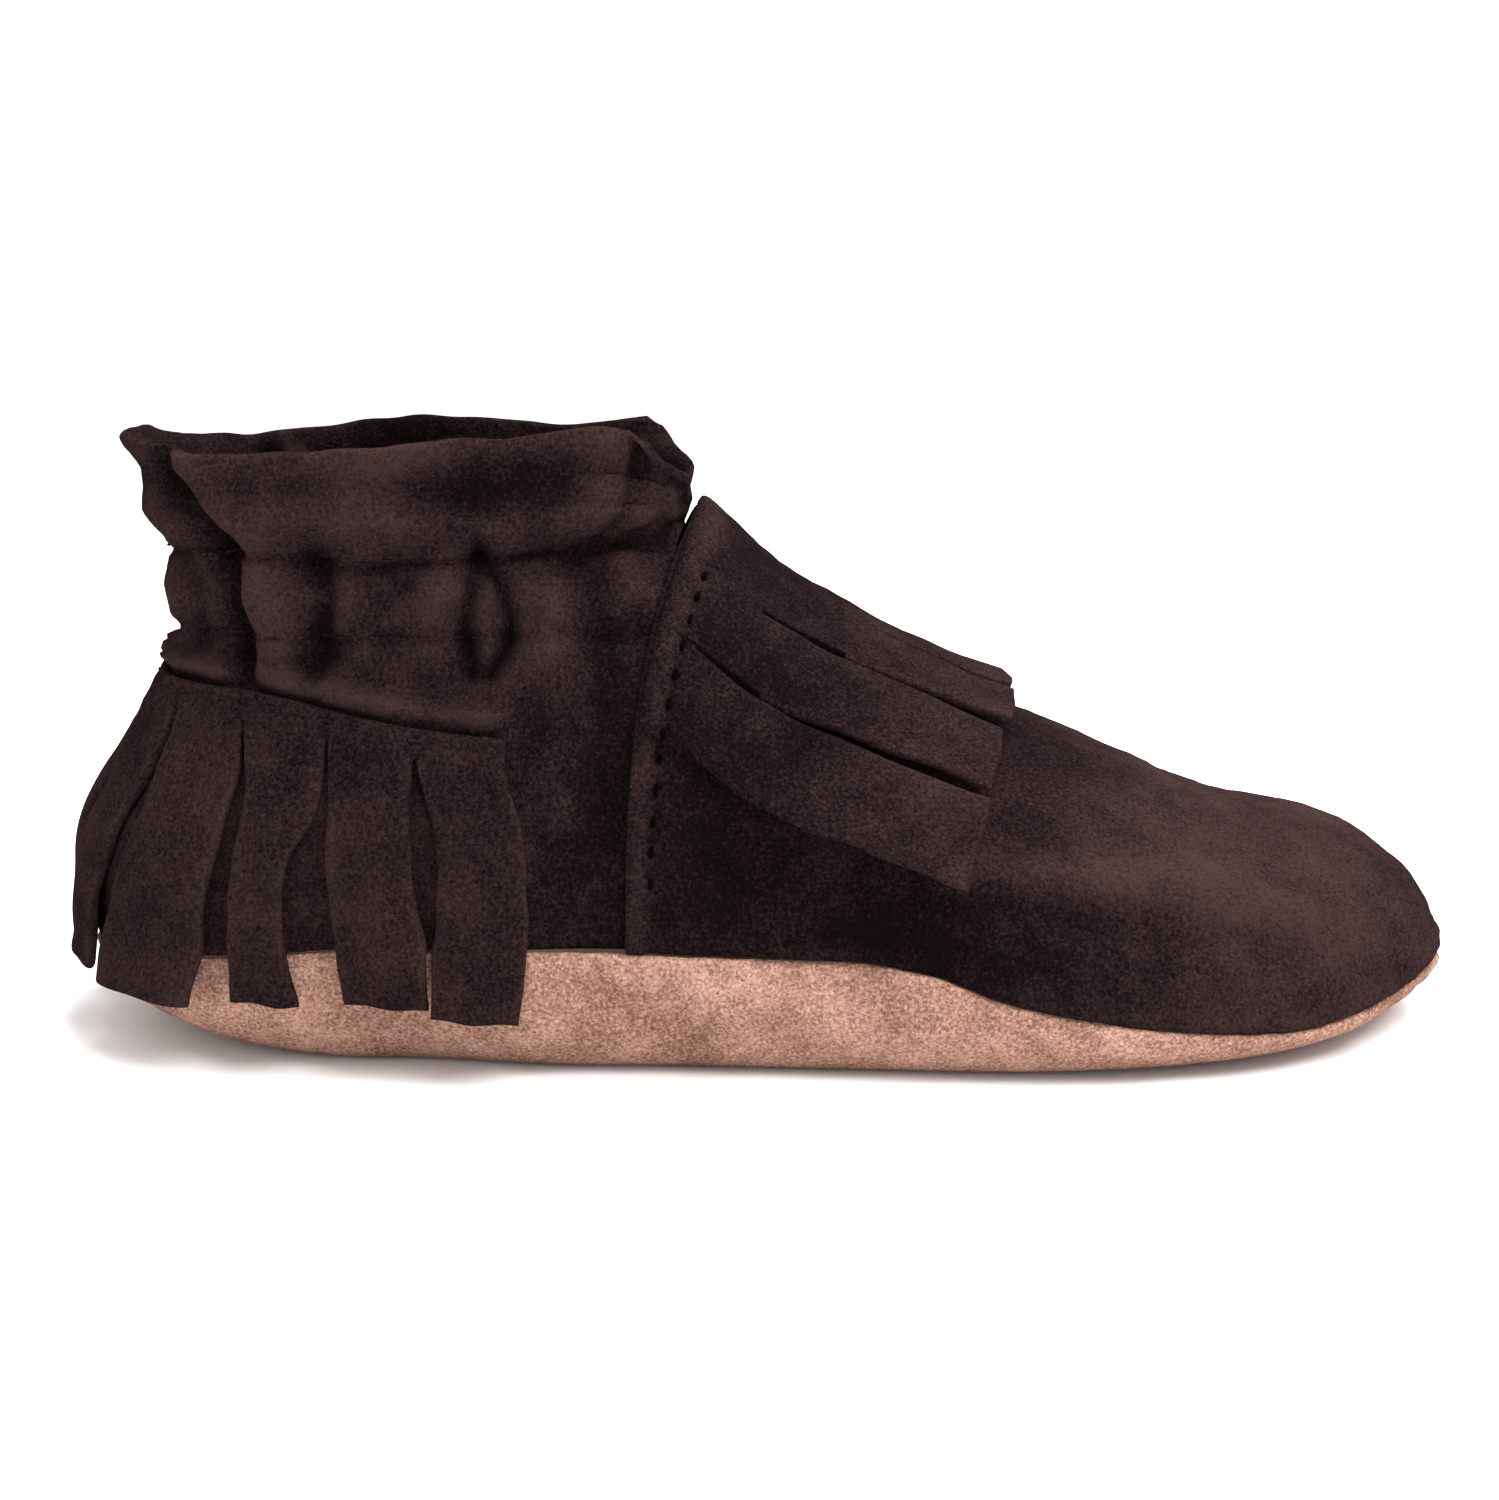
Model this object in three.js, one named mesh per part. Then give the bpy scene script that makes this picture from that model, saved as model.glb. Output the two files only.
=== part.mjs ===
// A baby's soft-sole suede moccasin: a turned-up suede sole, a vamp over the toe and instep,
// a quarter round the heel that rises to a gathered ankle and a loose cuff, a fringe flap on
// the instep and a fringe round the heel. Millimetres, +X to the toe, +Y to the shoe's left,
// +Z up. The origin is on the floor, at the middle of the sole's flat underside.

import * as THREE from "three";

// ---------- driving dimensions ----------

const gap = 0.3; // clearance between pieces that touch
const suede = 1.0; // upper and fringe leather
const soleSuede = 1.2;

const plan = {
  toe: 64.2, // stations along X
  ball: 22,
  waist: -18,
  heelCentre: -38,
  heel: -60.8,
  ballHalf: 27, // half-widths there
  waistHalf: 25.2,
  heelHalf: 22.8,
  fullness: 2.2, // 2 is an elliptic toe and heel, more is squarer
  lean: 2.5, // the toe's swing to the big toe's side
  flat: 0.76, // share of the sole that lies flat on the floor
};

const form = {
  roundness: 2.1, // superellipse exponent of the instep's cross-sections
  noseStart: 46, // X where the toe starts to round down
};

const seam = {
  footX: -10.8, // vamp's rear edge, at the sole
  throatX: -5.4, // and at the top of the tongue
  bow: 2.6, // how late the edge leans forward on its way up
  lap: 4, // how far the quarter runs under the vamp
  lapLow: 36, // the lap runs out between these heights, up to the throat
  lapHigh: 44.4,
  stitchIn: 2, // stitch line, in from the vamp's edge
};

const ankle = {
  waistZ: 40.4,
  rimZ: 53,
  peakRise: 1.5, // the cuff's front corners, above the rim
  flankLow: 15, // the quarter narrows to the ankle between these heights
  flankHigh: 36.5,
  flare: 1.2, // how late the cuff flares out on its way up
  centreX: -30,
  waistRearX: -51.9,
  rimRearX: -56,
  waistHalf: 19.5,
  rimHalf: 21,
  waistReach: 34, // front semi-axis of the ankle's oval, low and high
  rimReach: 25,
  reachLow: 38, // it shortens between these heights
  reachHigh: 47,
  fullness: 2.4,
  notchLean: 3.6, // the cuff's front edges lean back by this much
  throatHalf: 4.5, // half-width of the notch between them, at the throat and at the rim
  notchHalf: 15,
  turnIn: 0.72, // share of the way round from which the cuff turns in to the throat
  sideEnd: 0.7, // shares of the way round over which it bends under the vamp, lower down
  frontStart: 0.9,
  wave: 0.7, // the rim's slight waves: their height, how many, where they start
  waves: 9,
  waveStart: 0.6,
  peakFrom: 0.8, // shares of the way round over which the rim rises to its corners
  peakTo: 0.97,
};

const casing = { low: 36.4, high: 44.4, thickness: 0.6, end: 0.76, rowIn: 0.7 };
const elastic = { width: 6, thickness: 0.8 };

const footbed = { foam: 2, lining: 0.8, foamShare: 0.8, liningShare: 0.83 };

const vampFringe = {
  stripWidth: 9.2,
  rootX: [7, 7, -0.3, -5.6], // strip roots, from the middle strip outward
  tipX: 22.5, // tip of the middle strip
  tipSweep: 6.5, // the outer strips end this much further back
  tipLift: 0.9,
};

const heelFringe = {
  perSide: 6,
  topZ: 32.4,
  frontDrop: 3.8, // the root line falls by this much towards the vamp
  bandHeight: 2.2,
  taper: 0.3, // a strip is this much narrower at its tip
  endZ: 7.2,
  frontEnd: 0.8, // share of the way from heel to vamp that the fringe covers
  tipLift: 1.6,
  rowIn: 1.0, // its stitch row, down from the band's top edge
};

const thread = 0.3; // stitching thread's radius
const vampSeam = { from: 14, to: 46, run: 4 }; // its arc distances from the ridge
const soleSeam = { lapFrom: -34, lapFull: -18, lapLess: -3, lapEnd: 6, endShare: 0.004 };

// ---------- colours ----------

const brownSuede = new THREE.Color(0x3a2a27);
const tanSuede = new THREE.Color(0xb08c72);
const threadBrown = new THREE.Color(0x241a19);
const liningBeige = new THREE.Color(0x9a8672);
const foamWhite = new THREE.Color(0xd8d2c6);
const elasticBlack = new THREE.Color(0x2a2828);

// ---------- small helpers ----------

const mix = THREE.MathUtils.lerp;
const clamp = THREE.MathUtils.clamp;

function ease(value, low, high) {
  return THREE.MathUtils.smoothstep(value, low, high);
}

// A smooth curve through (x, y) stations: cubic Hermite with averaged slopes.
function through(stations) {
  const slopes = stations.map((_, i) => {
    const a = stations[Math.max(i - 1, 0)];
    const b = stations[Math.min(i + 1, stations.length - 1)];
    return (b[1] - a[1]) / (b[0] - a[0]);
  });
  return (x) => {
    let i = 0;
    while (i < stations.length - 2 && x > stations[i + 1][0]) i += 1;
    const [x0, y0] = stations[i];
    const [x1, y1] = stations[i + 1];
    const run = x1 - x0;
    const t = clamp((x - x0) / run, 0, 1);
    const t2 = t * t;
    const t3 = t2 * t;
    const rise = y0 * (2 * t3 - 3 * t2 + 1) + y1 * (3 * t2 - 2 * t3);
    return rise + run * (slopes[i] * (t3 - 2 * t2 + t) + slopes[i + 1] * (t3 - t2));
  };
}

// The quarter of a superellipse: height at a share of the half-width, both 0 to 1.
function arch(share, fullness) {
  return Math.pow(Math.max(1 - Math.pow(Math.abs(share), fullness), 0), 1 / fullness);
}

// ---------- the foot form: plan outline, sole seam and instep ----------

function halfWidth(x) {
  if (x >= plan.ball) {
    return plan.ballHalf * arch((x - plan.ball) / (plan.toe - plan.ball), plan.fullness);
  }
  if (x <= plan.heelCentre) {
    const share = (plan.heelCentre - x) / (plan.heelCentre - plan.heel);
    return plan.heelHalf * arch(share, plan.fullness);
  }
  if (x > plan.waist) {
    return mix(plan.waistHalf, plan.ballHalf, ease(x, plan.waist, plan.ball));
  }
  return mix(plan.heelHalf, plan.waistHalf, ease(x, plan.heelCentre, plan.waist));
}

// Y of the shoe's middle line: straight, then swinging to the big toe's side.
function middle(x) {
  const share = Math.max(x - plan.ball, 0) / (plan.toe - plan.ball);
  return plan.lean * share * share;
}

// Height of the seam between sole and upper.
const seamZ = through([
  [plan.heel, 8.5],
  [plan.heel + 15, 10.2],
  [plan.waist - 10, 11.4],
  [plan.ball - 14, 11.1],
  [plan.ball - 7, 9.9],
  [plan.ball - 1.5, 7.8],
  [plan.ball + 7, 5.9],
  [plan.ball + 18, 4.3],
  [plan.ball + 27, 3.9],
  [plan.toe, 6.4],
]);

// Height of the instep's ridge, before the toe rounds it down.
const ridgeZ = through([
  [-14, 53.5],
  [seam.throatX, 46.7],
  [0.4, 41.2],
  [9.6, 35.5],
  [16, 31.9],
  [23, 28.2],
  [32, 24.2],
  [41.5, 20.1],
  [48, 18.6],
  [plan.toe, 18],
]);

function crestZ(x) {
  const share = Math.max(x - form.noseStart, 0) / (plan.toe - form.noseStart);
  return mix(seamZ(x), ridgeZ(x), Math.sqrt(Math.max(1 - share * share, 0)));
}

// The outline from heel to toe, on the left side, as a curve.
const outlinePoints = [];
for (let i = 0; i <= 240; i += 1) {
  const along = (1 - Math.cos((Math.PI * i) / 240)) / 2;
  const x = mix(plan.heel, plan.toe, along);
  outlinePoints.push(new THREE.Vector2(x, halfWidth(x)));
}
const outlineCurve = new THREE.SplineCurve(outlinePoints);
outlineCurve.arcLengthDivisions = 960;

// A point of the outline at a share of the way from heel (0) to toe (1) on one side,
// moved inward by inset.
function outline(share, side, inset = 0) {
  const t = clamp(share, 0, 1);
  const point = outlineCurve.getPointAt(t);
  const tangent = outlineCurve.getTangentAt(t);
  const x = point.x + tangent.y * inset;
  const y = Math.max(point.y - Math.abs(tangent.x) * inset, 0);
  return new THREE.Vector2(x, middle(x) + side * y);
}

// Share of the heel-to-toe outline at which it passes x.
function shareAt(x) {
  let low = 0;
  let high = 1;
  for (let i = 0; i < 40; i += 1) {
    const half = (low + high) / 2;
    if (outlineCurve.getPointAt(half).x < x) {
      low = half;
    } else {
      high = half;
    }
  }
  return low;
}

// Half-width of the form at a height, inset mm inside its surface.
function formHalf(x, z, inset) {
  const share = clamp((z - seamZ(x)) / (crestZ(x) - inset - seamZ(x)), 0, 1);
  return (halfWidth(x) - inset) * arch(share, form.roundness);
}

// X of the vamp's rear edge at a height.
function seamX(z) {
  const foot = seamZ(seam.footX);
  const share = clamp((z - foot) / (ridgeZ(seam.throatX) - foot), 0, 1);
  return mix(seam.footX, seam.throatX, Math.pow(share, seam.bow));
}

// A point of the form at x and an arc distance from the ridge (left is positive).
function formPoint(x, arc) {
  const width = halfWidth(x);
  const low = seamZ(x);
  const rise = crestZ(x) - low;
  const power = 2 / form.roundness;
  const steps = 40;
  let y = 0;
  let z = low + rise;
  let gone = 0;
  for (let i = 1; i <= steps; i += 1) {
    const angle = (Math.PI / 2) * (i / steps);
    const nextY = width * Math.pow(Math.sin(angle), power);
    const nextZ = low + rise * Math.pow(Math.max(Math.cos(angle), 0), power);
    const step = Math.hypot(nextY - y, nextZ - z);
    if (gone + step >= Math.abs(arc) || i === steps) {
      const part = (Math.abs(arc) - gone) / step;
      y = mix(y, nextY, part);
      z = mix(z, nextZ, part);
      break;
    }
    gone += step;
    y = nextY;
    z = nextZ;
  }
  return new THREE.Vector3(x, middle(x) + Math.sign(arc) * y, z);
}

// ---------- the quarter's surface ----------

// X of the quarter's front edge at a height: under the vamp low down, behind its edge higher up,
// and leaning back above the throat.
function frontX(z) {
  const throatZ = ridgeZ(seam.throatX);
  const lap = mix(seam.lap, -1.5 * gap, ease(z, seam.lapLow, seam.lapHigh));
  const lean = (ankle.notchLean * Math.max(z - throatZ, 0)) / (ankle.rimZ - throatZ);
  return seamX(z) + lap - lean;
}

// The ankle's oval at a height, from its heel (0) to the quarter's front edge (1).
function ankleOval(share, z) {
  const above = Math.max(z - ankle.waistZ, 0) / (ankle.rimZ - ankle.waistZ);
  const flare = Math.pow(above, ankle.flare);
  const rear = ankle.centreX - mix(ankle.waistRearX, ankle.rimRearX, flare);
  const half = mix(ankle.waistHalf, ankle.rimHalf, flare);
  const high = ease(z, ankle.reachLow, ankle.reachHigh);
  const reach = mix(ankle.waistReach, ankle.rimReach, high);
  const ahead = (frontX(z) - ankle.centreX) / reach;
  const endAngle = Math.PI - Math.atan2(arch(ahead, ankle.fullness), ahead);
  const angle = share * endAngle;
  const c = Math.abs(Math.cos(angle));
  const s = Math.abs(Math.sin(angle));
  const size = Math.pow(Math.pow(c, ankle.fullness) + Math.pow(s, ankle.fullness), -1 / ankle.fullness);
  const length = Math.cos(angle) > 0 ? -rear : reach;
  return new THREE.Vector2(ankle.centreX + length * c * size, half * s * size);
}

const quarterFoot = shareAt(frontX(seamZ(seam.footX)));

// The quarter's middle surface at a height: around runs from -1 (right front edge) through the heel at 0
// to 1 (left front edge).
function quarter(z, around) {
  const share = Math.abs(around);
  const side = around < 0 ? -1 : 1;
  const low = outlineCurve.getPointAt(share * quarterFoot);
  const lowEnd = outlineCurve.getPointAt(quarterFoot);
  const high = ankleOval(share, z);
  const rise = ease(z, ankle.flankLow, ankle.flankHigh);
  const underVamp = ease(share, ankle.sideEnd, ankle.frontStart);
  const turnedIn = Math.pow(Math.max(share - ankle.turnIn, 0) / (1 - ankle.turnIn), 2);
  const nearFront = mix(underVamp, turnedIn, ease(z, seam.lapHigh - 1, seam.lapHigh + 5));
  const endX = mix(lowEnd.x, frontX(z), rise);
  const x = mix(low.x, high.x, rise) + (frontX(z) - endX) * underVamp;
  const own = mix(low.y, high.y, rise);
  const open = ease(z, ridgeZ(seam.throatX), ankle.rimZ);
  const notch = mix(ankle.throatHalf, ankle.notchHalf, open);
  const y = mix(own, Math.max(formHalf(x, z, gap + 1.5 * suede), notch), nearFront);
  const thick = 0.5 * suede * (1 - nearFront);
  const shrink = 1 - thick / Math.max(Math.hypot(x - ankle.centreX, y), 1);
  return new THREE.Vector3(
    ankle.centreX + (x - ankle.centreX) * shrink,
    side * y * shrink,
    z,
  );
}

function rimZ(around) {
  const share = Math.abs(around);
  const wave = ankle.wave * Math.cos(around * ankle.waves + ankle.waveStart);
  return ankle.rimZ + wave + ankle.peakRise * ease(share, ankle.peakFrom, ankle.peakTo);
}

// ---------- bending flat pieces onto a surface ----------

// The point at a distance out from surface(a, b), along its normal.
function raised(surface, a, b, out) {
  const here = surface(a, b);
  const step = 1e-3;
  const alongA = surface(a + step, b).sub(surface(a - step, b));
  const alongB = surface(a, b + step).sub(surface(a, b - step));
  const normal = alongA.cross(alongB).normalize();
  return here.addScaledVector(normal, out);
}

// Turns a closed geometry's faces outward if its rows run the other way.
function facingOut(geometry) {
  const flat = geometry.index ? geometry.toNonIndexed() : geometry;
  const spots = flat.attributes.position;
  const [a, b, c] = [new THREE.Vector3(), new THREE.Vector3(), new THREE.Vector3()];
  let volume = 0;
  for (let i = 0; i < spots.count; i += 3) {
    a.fromBufferAttribute(spots, i);
    b.fromBufferAttribute(spots, i + 1);
    c.fromBufferAttribute(spots, i + 2);
    volume += a.dot(b.cross(c));
  }
  if (volume < 0) {
    for (let i = 0; i < spots.count; i += 3) {
      b.fromBufferAttribute(spots, i + 1);
      c.fromBufferAttribute(spots, i + 2);
      spots.setXYZ(i + 1, c.x, c.y, c.z);
      spots.setXYZ(i + 2, b.x, b.y, b.z);
    }
  }
  flat.deleteAttribute("uv");
  flat.deleteAttribute("normal");
  flat.computeVertexNormals();
  return flat;
}

// A flat blank of columns by rows, each of its points put in place by
// place(along 0..1, across 0..1, layer -0.5..0.5).
function blank(columns, rows, place) {
  const box = new THREE.BoxGeometry(1, 1, 1, columns, rows, 1);
  const spots = box.attributes.position;
  for (let i = 0; i < spots.count; i += 1) {
    const p = place(spots.getX(i) + 0.5, spots.getY(i) + 0.5, spots.getZ(i));
    spots.setXYZ(i, p.x, p.y, p.z);
  }
  return facingOut(box);
}

// A round blank with a rim: place(turn, ring 0..1, layer 0 or 1) for turns of 0..1.
function disc(turns, rings, place) {
  const profile = [];
  for (let j = 0; j <= rings; j += 1) profile.push(new THREE.Vector2(j / rings, 0));
  for (let j = rings; j >= 0; j -= 1) profile.push(new THREE.Vector2(j / rings, 1));
  const lathe = new THREE.LatheGeometry(profile, turns);
  const spots = lathe.attributes.position;
  for (let i = 0; i < spots.count; i += 1) {
    const turn = Math.floor(i / profile.length) % turns;
    const mark = profile[i % profile.length];
    const p = place(turn, mark.x, mark.y);
    spots.setXYZ(i, p.x, p.y, p.z);
  }
  return facingOut(lathe);
}

// A thread laid along points.
function stitching(points, steps) {
  const section = new THREE.Shape();
  for (let i = 0; i < 4; i += 1) {
    const angle = (Math.PI / 2) * i;
    const move = i ? "lineTo" : "moveTo";
    section[move](thread * Math.cos(angle), thread * Math.sin(angle));
  }
  const path = new THREE.CatmullRomCurve3(points);
  return facingOut(new THREE.ExtrudeGeometry(section, { steps, extrudePath: path }));
}

// ---------- pieces ----------

const moccasin = new THREE.Group();

function add(name, geometry, color, roughness) {
  const material = new THREE.MeshStandardMaterial({ color, roughness, metalness: 0 });
  const mesh = new THREE.Mesh(geometry, material);
  mesh.name = name;
  moccasin.add(mesh);
}

const soleTurns = 48;

function soleEdge(turn, inset) {
  const share = turn / soleTurns;
  const side = share < 0.5 ? -1 : 1;
  return outline(1 - Math.abs(1 - 2 * share), side, inset);
}

// The sole's cup: flat, then turned up to the seam, lift mm above its underside.
function soleCup(turn, ring, inset, lift, share) {
  const edge = soleEdge(turn, inset);
  const spread = Math.sin((ring * Math.PI) / 2) * share;
  const x = edge.x * spread;
  const top = seamZ(soleEdge(turn, 0).x) - gap / 2;
  const climb = Math.max(spread - plan.flat, 0) / (1 - plan.flat);
  const rise = 1 - Math.sqrt(Math.max(1 - climb * climb, 0));
  return new THREE.Vector3(x, edge.y * spread, lift + (top - Math.min(lift, soleSuede)) * rise);
}

function buildSole() {
  const outsole = disc(soleTurns, 8, (turn, ring, layer) =>
    soleCup(turn, ring, layer * soleSuede, layer * soleSuede, 1),
  );
  add("outsole", outsole, tanSuede, 0.95);

  const foamLift = soleSuede + gap;
  const inset = soleSuede + 2 * gap;
  const foam = disc(soleTurns, 4, (turn, ring, layer) =>
    soleCup(turn, ring, inset, foamLift + layer * footbed.foam, footbed.foamShare),
  );
  add("insole_foam", foam, foamWhite, 0.9);

  const liningLift = foamLift + footbed.foam + gap;
  const lining = disc(soleTurns, 4, (turn, ring, layer) =>
    soleCup(turn, ring, inset, liningLift + layer * footbed.lining, footbed.liningShare),
  );
  add("insole_lining", lining, liningBeige, 0.9);
}

// The vamp: a cap over the toe and instep, open at its rear edge.
function buildVamp() {
  const edgeSteps = 11;
  const power = 2 / form.roundness;
  const foot = shareAt(seam.footX);
  const rear = [];
  for (let i = 0; i <= edgeSteps; i += 1) {
    const angle = (Math.PI / 2) * (1 - i / edgeSteps);
    const up = Math.pow(Math.sin(angle), power);
    const low = seamZ(seam.footX);
    const x = seamX(mix(low, ridgeZ(seam.throatX), up));
    rear.push(new THREE.Vector2(x, halfWidth(x) * Math.pow(Math.max(Math.cos(angle), 0), power)));
  }
  const outlineSteps = 17;
  const front = [];
  for (let i = 1; i <= outlineSteps; i += 1) {
    const share = mix(foot, 1, i / outlineSteps);
    const p = outlineCurve.getPointAt(share);
    front.push(new THREE.Vector2(p.x, p.y));
  }
  const half = [...rear, ...front];
  const edges = [];
  half.forEach((p) => edges.push(new THREE.Vector2(p.x, -p.y)));
  half
    .slice(1, -1)
    .reverse()
    .forEach((p) => edges.push(new THREE.Vector2(p.x, p.y)));
  const centreX = plan.ball;
  const skin = (turn, ring, inset) => {
    const edge = edges[turn];
    const spread = Math.sin((ring * Math.PI) / 2);
    const x = mix(centreX, edge.x, spread);
    const y = edge.y * spread;
    const width = halfWidth(x);
    const share = clamp(Math.abs(y) / Math.max(width, 1e-6), 0, 1);
    const innerWidth = Math.max(width - inset, 0);
    const low = seamZ(x) + gap / 2;
    const top = mix(low, crestZ(x) - inset, arch(share, form.roundness));
    const slim = width > 1e-6 ? innerWidth / width : 0;
    return new THREE.Vector3(x, middle(x) + y * slim, Math.max(top, low));
  };
  const vamp = disc(edges.length, 9, (turn, ring, layer) => {
    const p = skin(turn, ring, layer * suede);
    const towardToe = Math.max(p.x - form.noseStart, 0) / (plan.toe - form.noseStart);
    p.x -= layer * suede * towardToe * towardToe;
    return p;
  });
  add("vamp", vamp, brownSuede, 0.95);
}

function buildQuarter() {
  const sheet = blank(64, 16, (along, up, layer) => {
    const around = mix(-1, 1, along);
    const lowX = quarter(seamZ(seam.footX), around).x;
    const low = seamZ(lowX) + gap / 2;
    const z = mix(low, rimZ(around), up);
    return raised(quarter, z, around, layer * suede);
  });
  add("quarter", sheet, brownSuede, 0.95);
}

// A strip of the ankle's lining, followed round inside or outside the quarter.
function ankleBand(low, high, out, thickness, end, columns) {
  return blank(columns, 4, (along, up, layer) =>
    raised(quarter, mix(low, high, up), mix(-end, end, along), out + layer * thickness),
  );
}

function buildAnkle() {
  const middleZ = (casing.low + casing.high) / 2;
  const elasticOut = suede / 2 + 1.5 * gap + elastic.thickness / 2;
  const band = ankleBand(
    middleZ - elastic.width / 2,
    middleZ + elastic.width / 2,
    -elasticOut,
    elastic.thickness,
    casing.end,
    38,
  );
  add("ankle_elastic", band, elasticBlack, 0.8);

  const casingOut = elasticOut + elastic.thickness / 2 + gap + casing.thickness / 2;
  const cover = ankleBand(casing.low, casing.high, -casingOut, casing.thickness, casing.end, 38);
  add("elastic_casing", cover, brownSuede, 0.9);

  const rows = { upper: casing.high - casing.rowIn, lower: casing.low + casing.rowIn };
  Object.entries(rows).forEach(([name, z]) => {
    const points = [];
    for (let i = 0; i <= 40; i += 1) {
      const around = mix(-casing.end, casing.end, i / 40);
      points.push(raised(quarter, z, around, suede / 2 + 1.3 * gap + thread));
    }
    add("casing_thread_" + name, stitching(points, 38), threadBrown, 0.8);
  });
}

// ---------- fringes ----------

// Splits the stretches between stations into shorter ones.
function finer(stations, parts) {
  const list = [stations[0]];
  for (let i = 1; i < stations.length; i += 1) {
    const [a, b] = [stations[i - 1], stations[i]];
    for (let j = 1; j <= parts; j += 1) {
      list.push([mix(a[0], b[0], j / parts), mix(a[1], b[1], j / parts)]);
    }
  }
  return list;
}

// X of the vamp's edge at an arc distance from the ridge.
function seamXAtArc(arc) {
  let x = seam.throatX;
  for (let i = 0; i < 3; i += 1) x = seamX(formPoint(x, arc).z);
  return x;
}

// The direction of a root edge at a place along it.
function alongRoot(root, along) {
  return root(along + 1e-3).sub(root(along - 1e-3));
}

// Stores the line that a strip folds about, by a point and a direction. The strip hangs from
// it towards hang, and a positive turn folds it outward.
function hinge(name, at, direction, hang, outward) {
  const axis = direction.clone().normalize();
  if (axis.clone().cross(hang).dot(outward) < 0) axis.negate();
  moccasin.getObjectByName(name).userData.hinge = { at: at.toArray(), axis: axis.toArray() };
}

// The flap on the instep: a root band whose front edge steps with the strips' roots, and the
// strips, numbered from the right side to the left.
function buildVampFringe() {
  const { stripWidth, rootX, tipX, tipSweep, tipLift } = vampFringe;
  const middleOut = gap + suede / 2;
  const reach = stripWidth * (rootX.length - 0.5);

  const half = [[0, rootX[0]]];
  rootX.forEach((root, k) => {
    const edge = stripWidth * (k + 0.5);
    const next = rootX[k + 1] ?? root;
    half.push([edge - 1.5 * gap, root]);
    half.push([k + 1 < rootX.length ? edge - 0.5 * gap : edge, next]);
  });
  const fine = finer(half, 3);
  const stations = [
    ...fine.slice(1).map(([arc, x]) => [-arc, x]).reverse(),
    ...fine,
  ];
  const band = blank(stations.length - 1, 4, (along, ahead, layer) => {
    const [arc, end] = stations[Math.round(along * (stations.length - 1))];
    const x = mix(seamXAtArc(arc), end, ahead);
    return raised(formPoint, x, arc, middleOut + layer * suede);
  });
  add("vamp_fringe_band", band, brownSuede, 0.95);

  const tip = (arc) => tipX - tipSweep * Math.pow(Math.abs(arc) / reach, 1.5);
  for (let k = 1 - rootX.length; k < rootX.length; k += 1) {
    const name = "vamp_fringe_strip_" + (k + rootX.length);
    const root = rootX[Math.abs(k)] + gap;
    const centre = k * stripWidth;
    const strip = blank(4, 7, (across, along, layer) => {
      const arc = centre + (across - 0.5) * (stripWidth - gap);
      const x = mix(root, tip(arc), along);
      const lift = tipLift * along * along;
      return raised(formPoint, x, arc, middleOut + layer * suede + lift);
    });
    add(name, strip, brownSuede, 0.95);
    const rootEdge = (arc) => raised(formPoint, root, arc, gap + suede);
    const outward = raised(formPoint, root, centre, 9).sub(rootEdge(centre));
    const ahead = new THREE.Vector3(1, 0, 0);
    hinge(name, rootEdge(centre), alongRoot(rootEdge, centre), ahead, outward);
  }
}

// The place that lies a length further round the quarter, at one height.
function further(z, around, length) {
  const steps = 4;
  let place = around;
  for (let i = 0; i < steps; i += 1) {
    const ahead = quarter(z, place + 1e-3);
    const behind = quarter(z, place - 1e-3);
    place += ((length / steps) * 2e-3) / ahead.distanceTo(behind);
  }
  return place;
}

// Height of the heel fringe's top edge.
function fringeTop(around) {
  const { topZ, frontDrop, frontEnd } = heelFringe;
  return topZ - frontDrop * ease(Math.abs(around), 0.5 * frontEnd, 1.05 * frontEnd);
}

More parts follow.
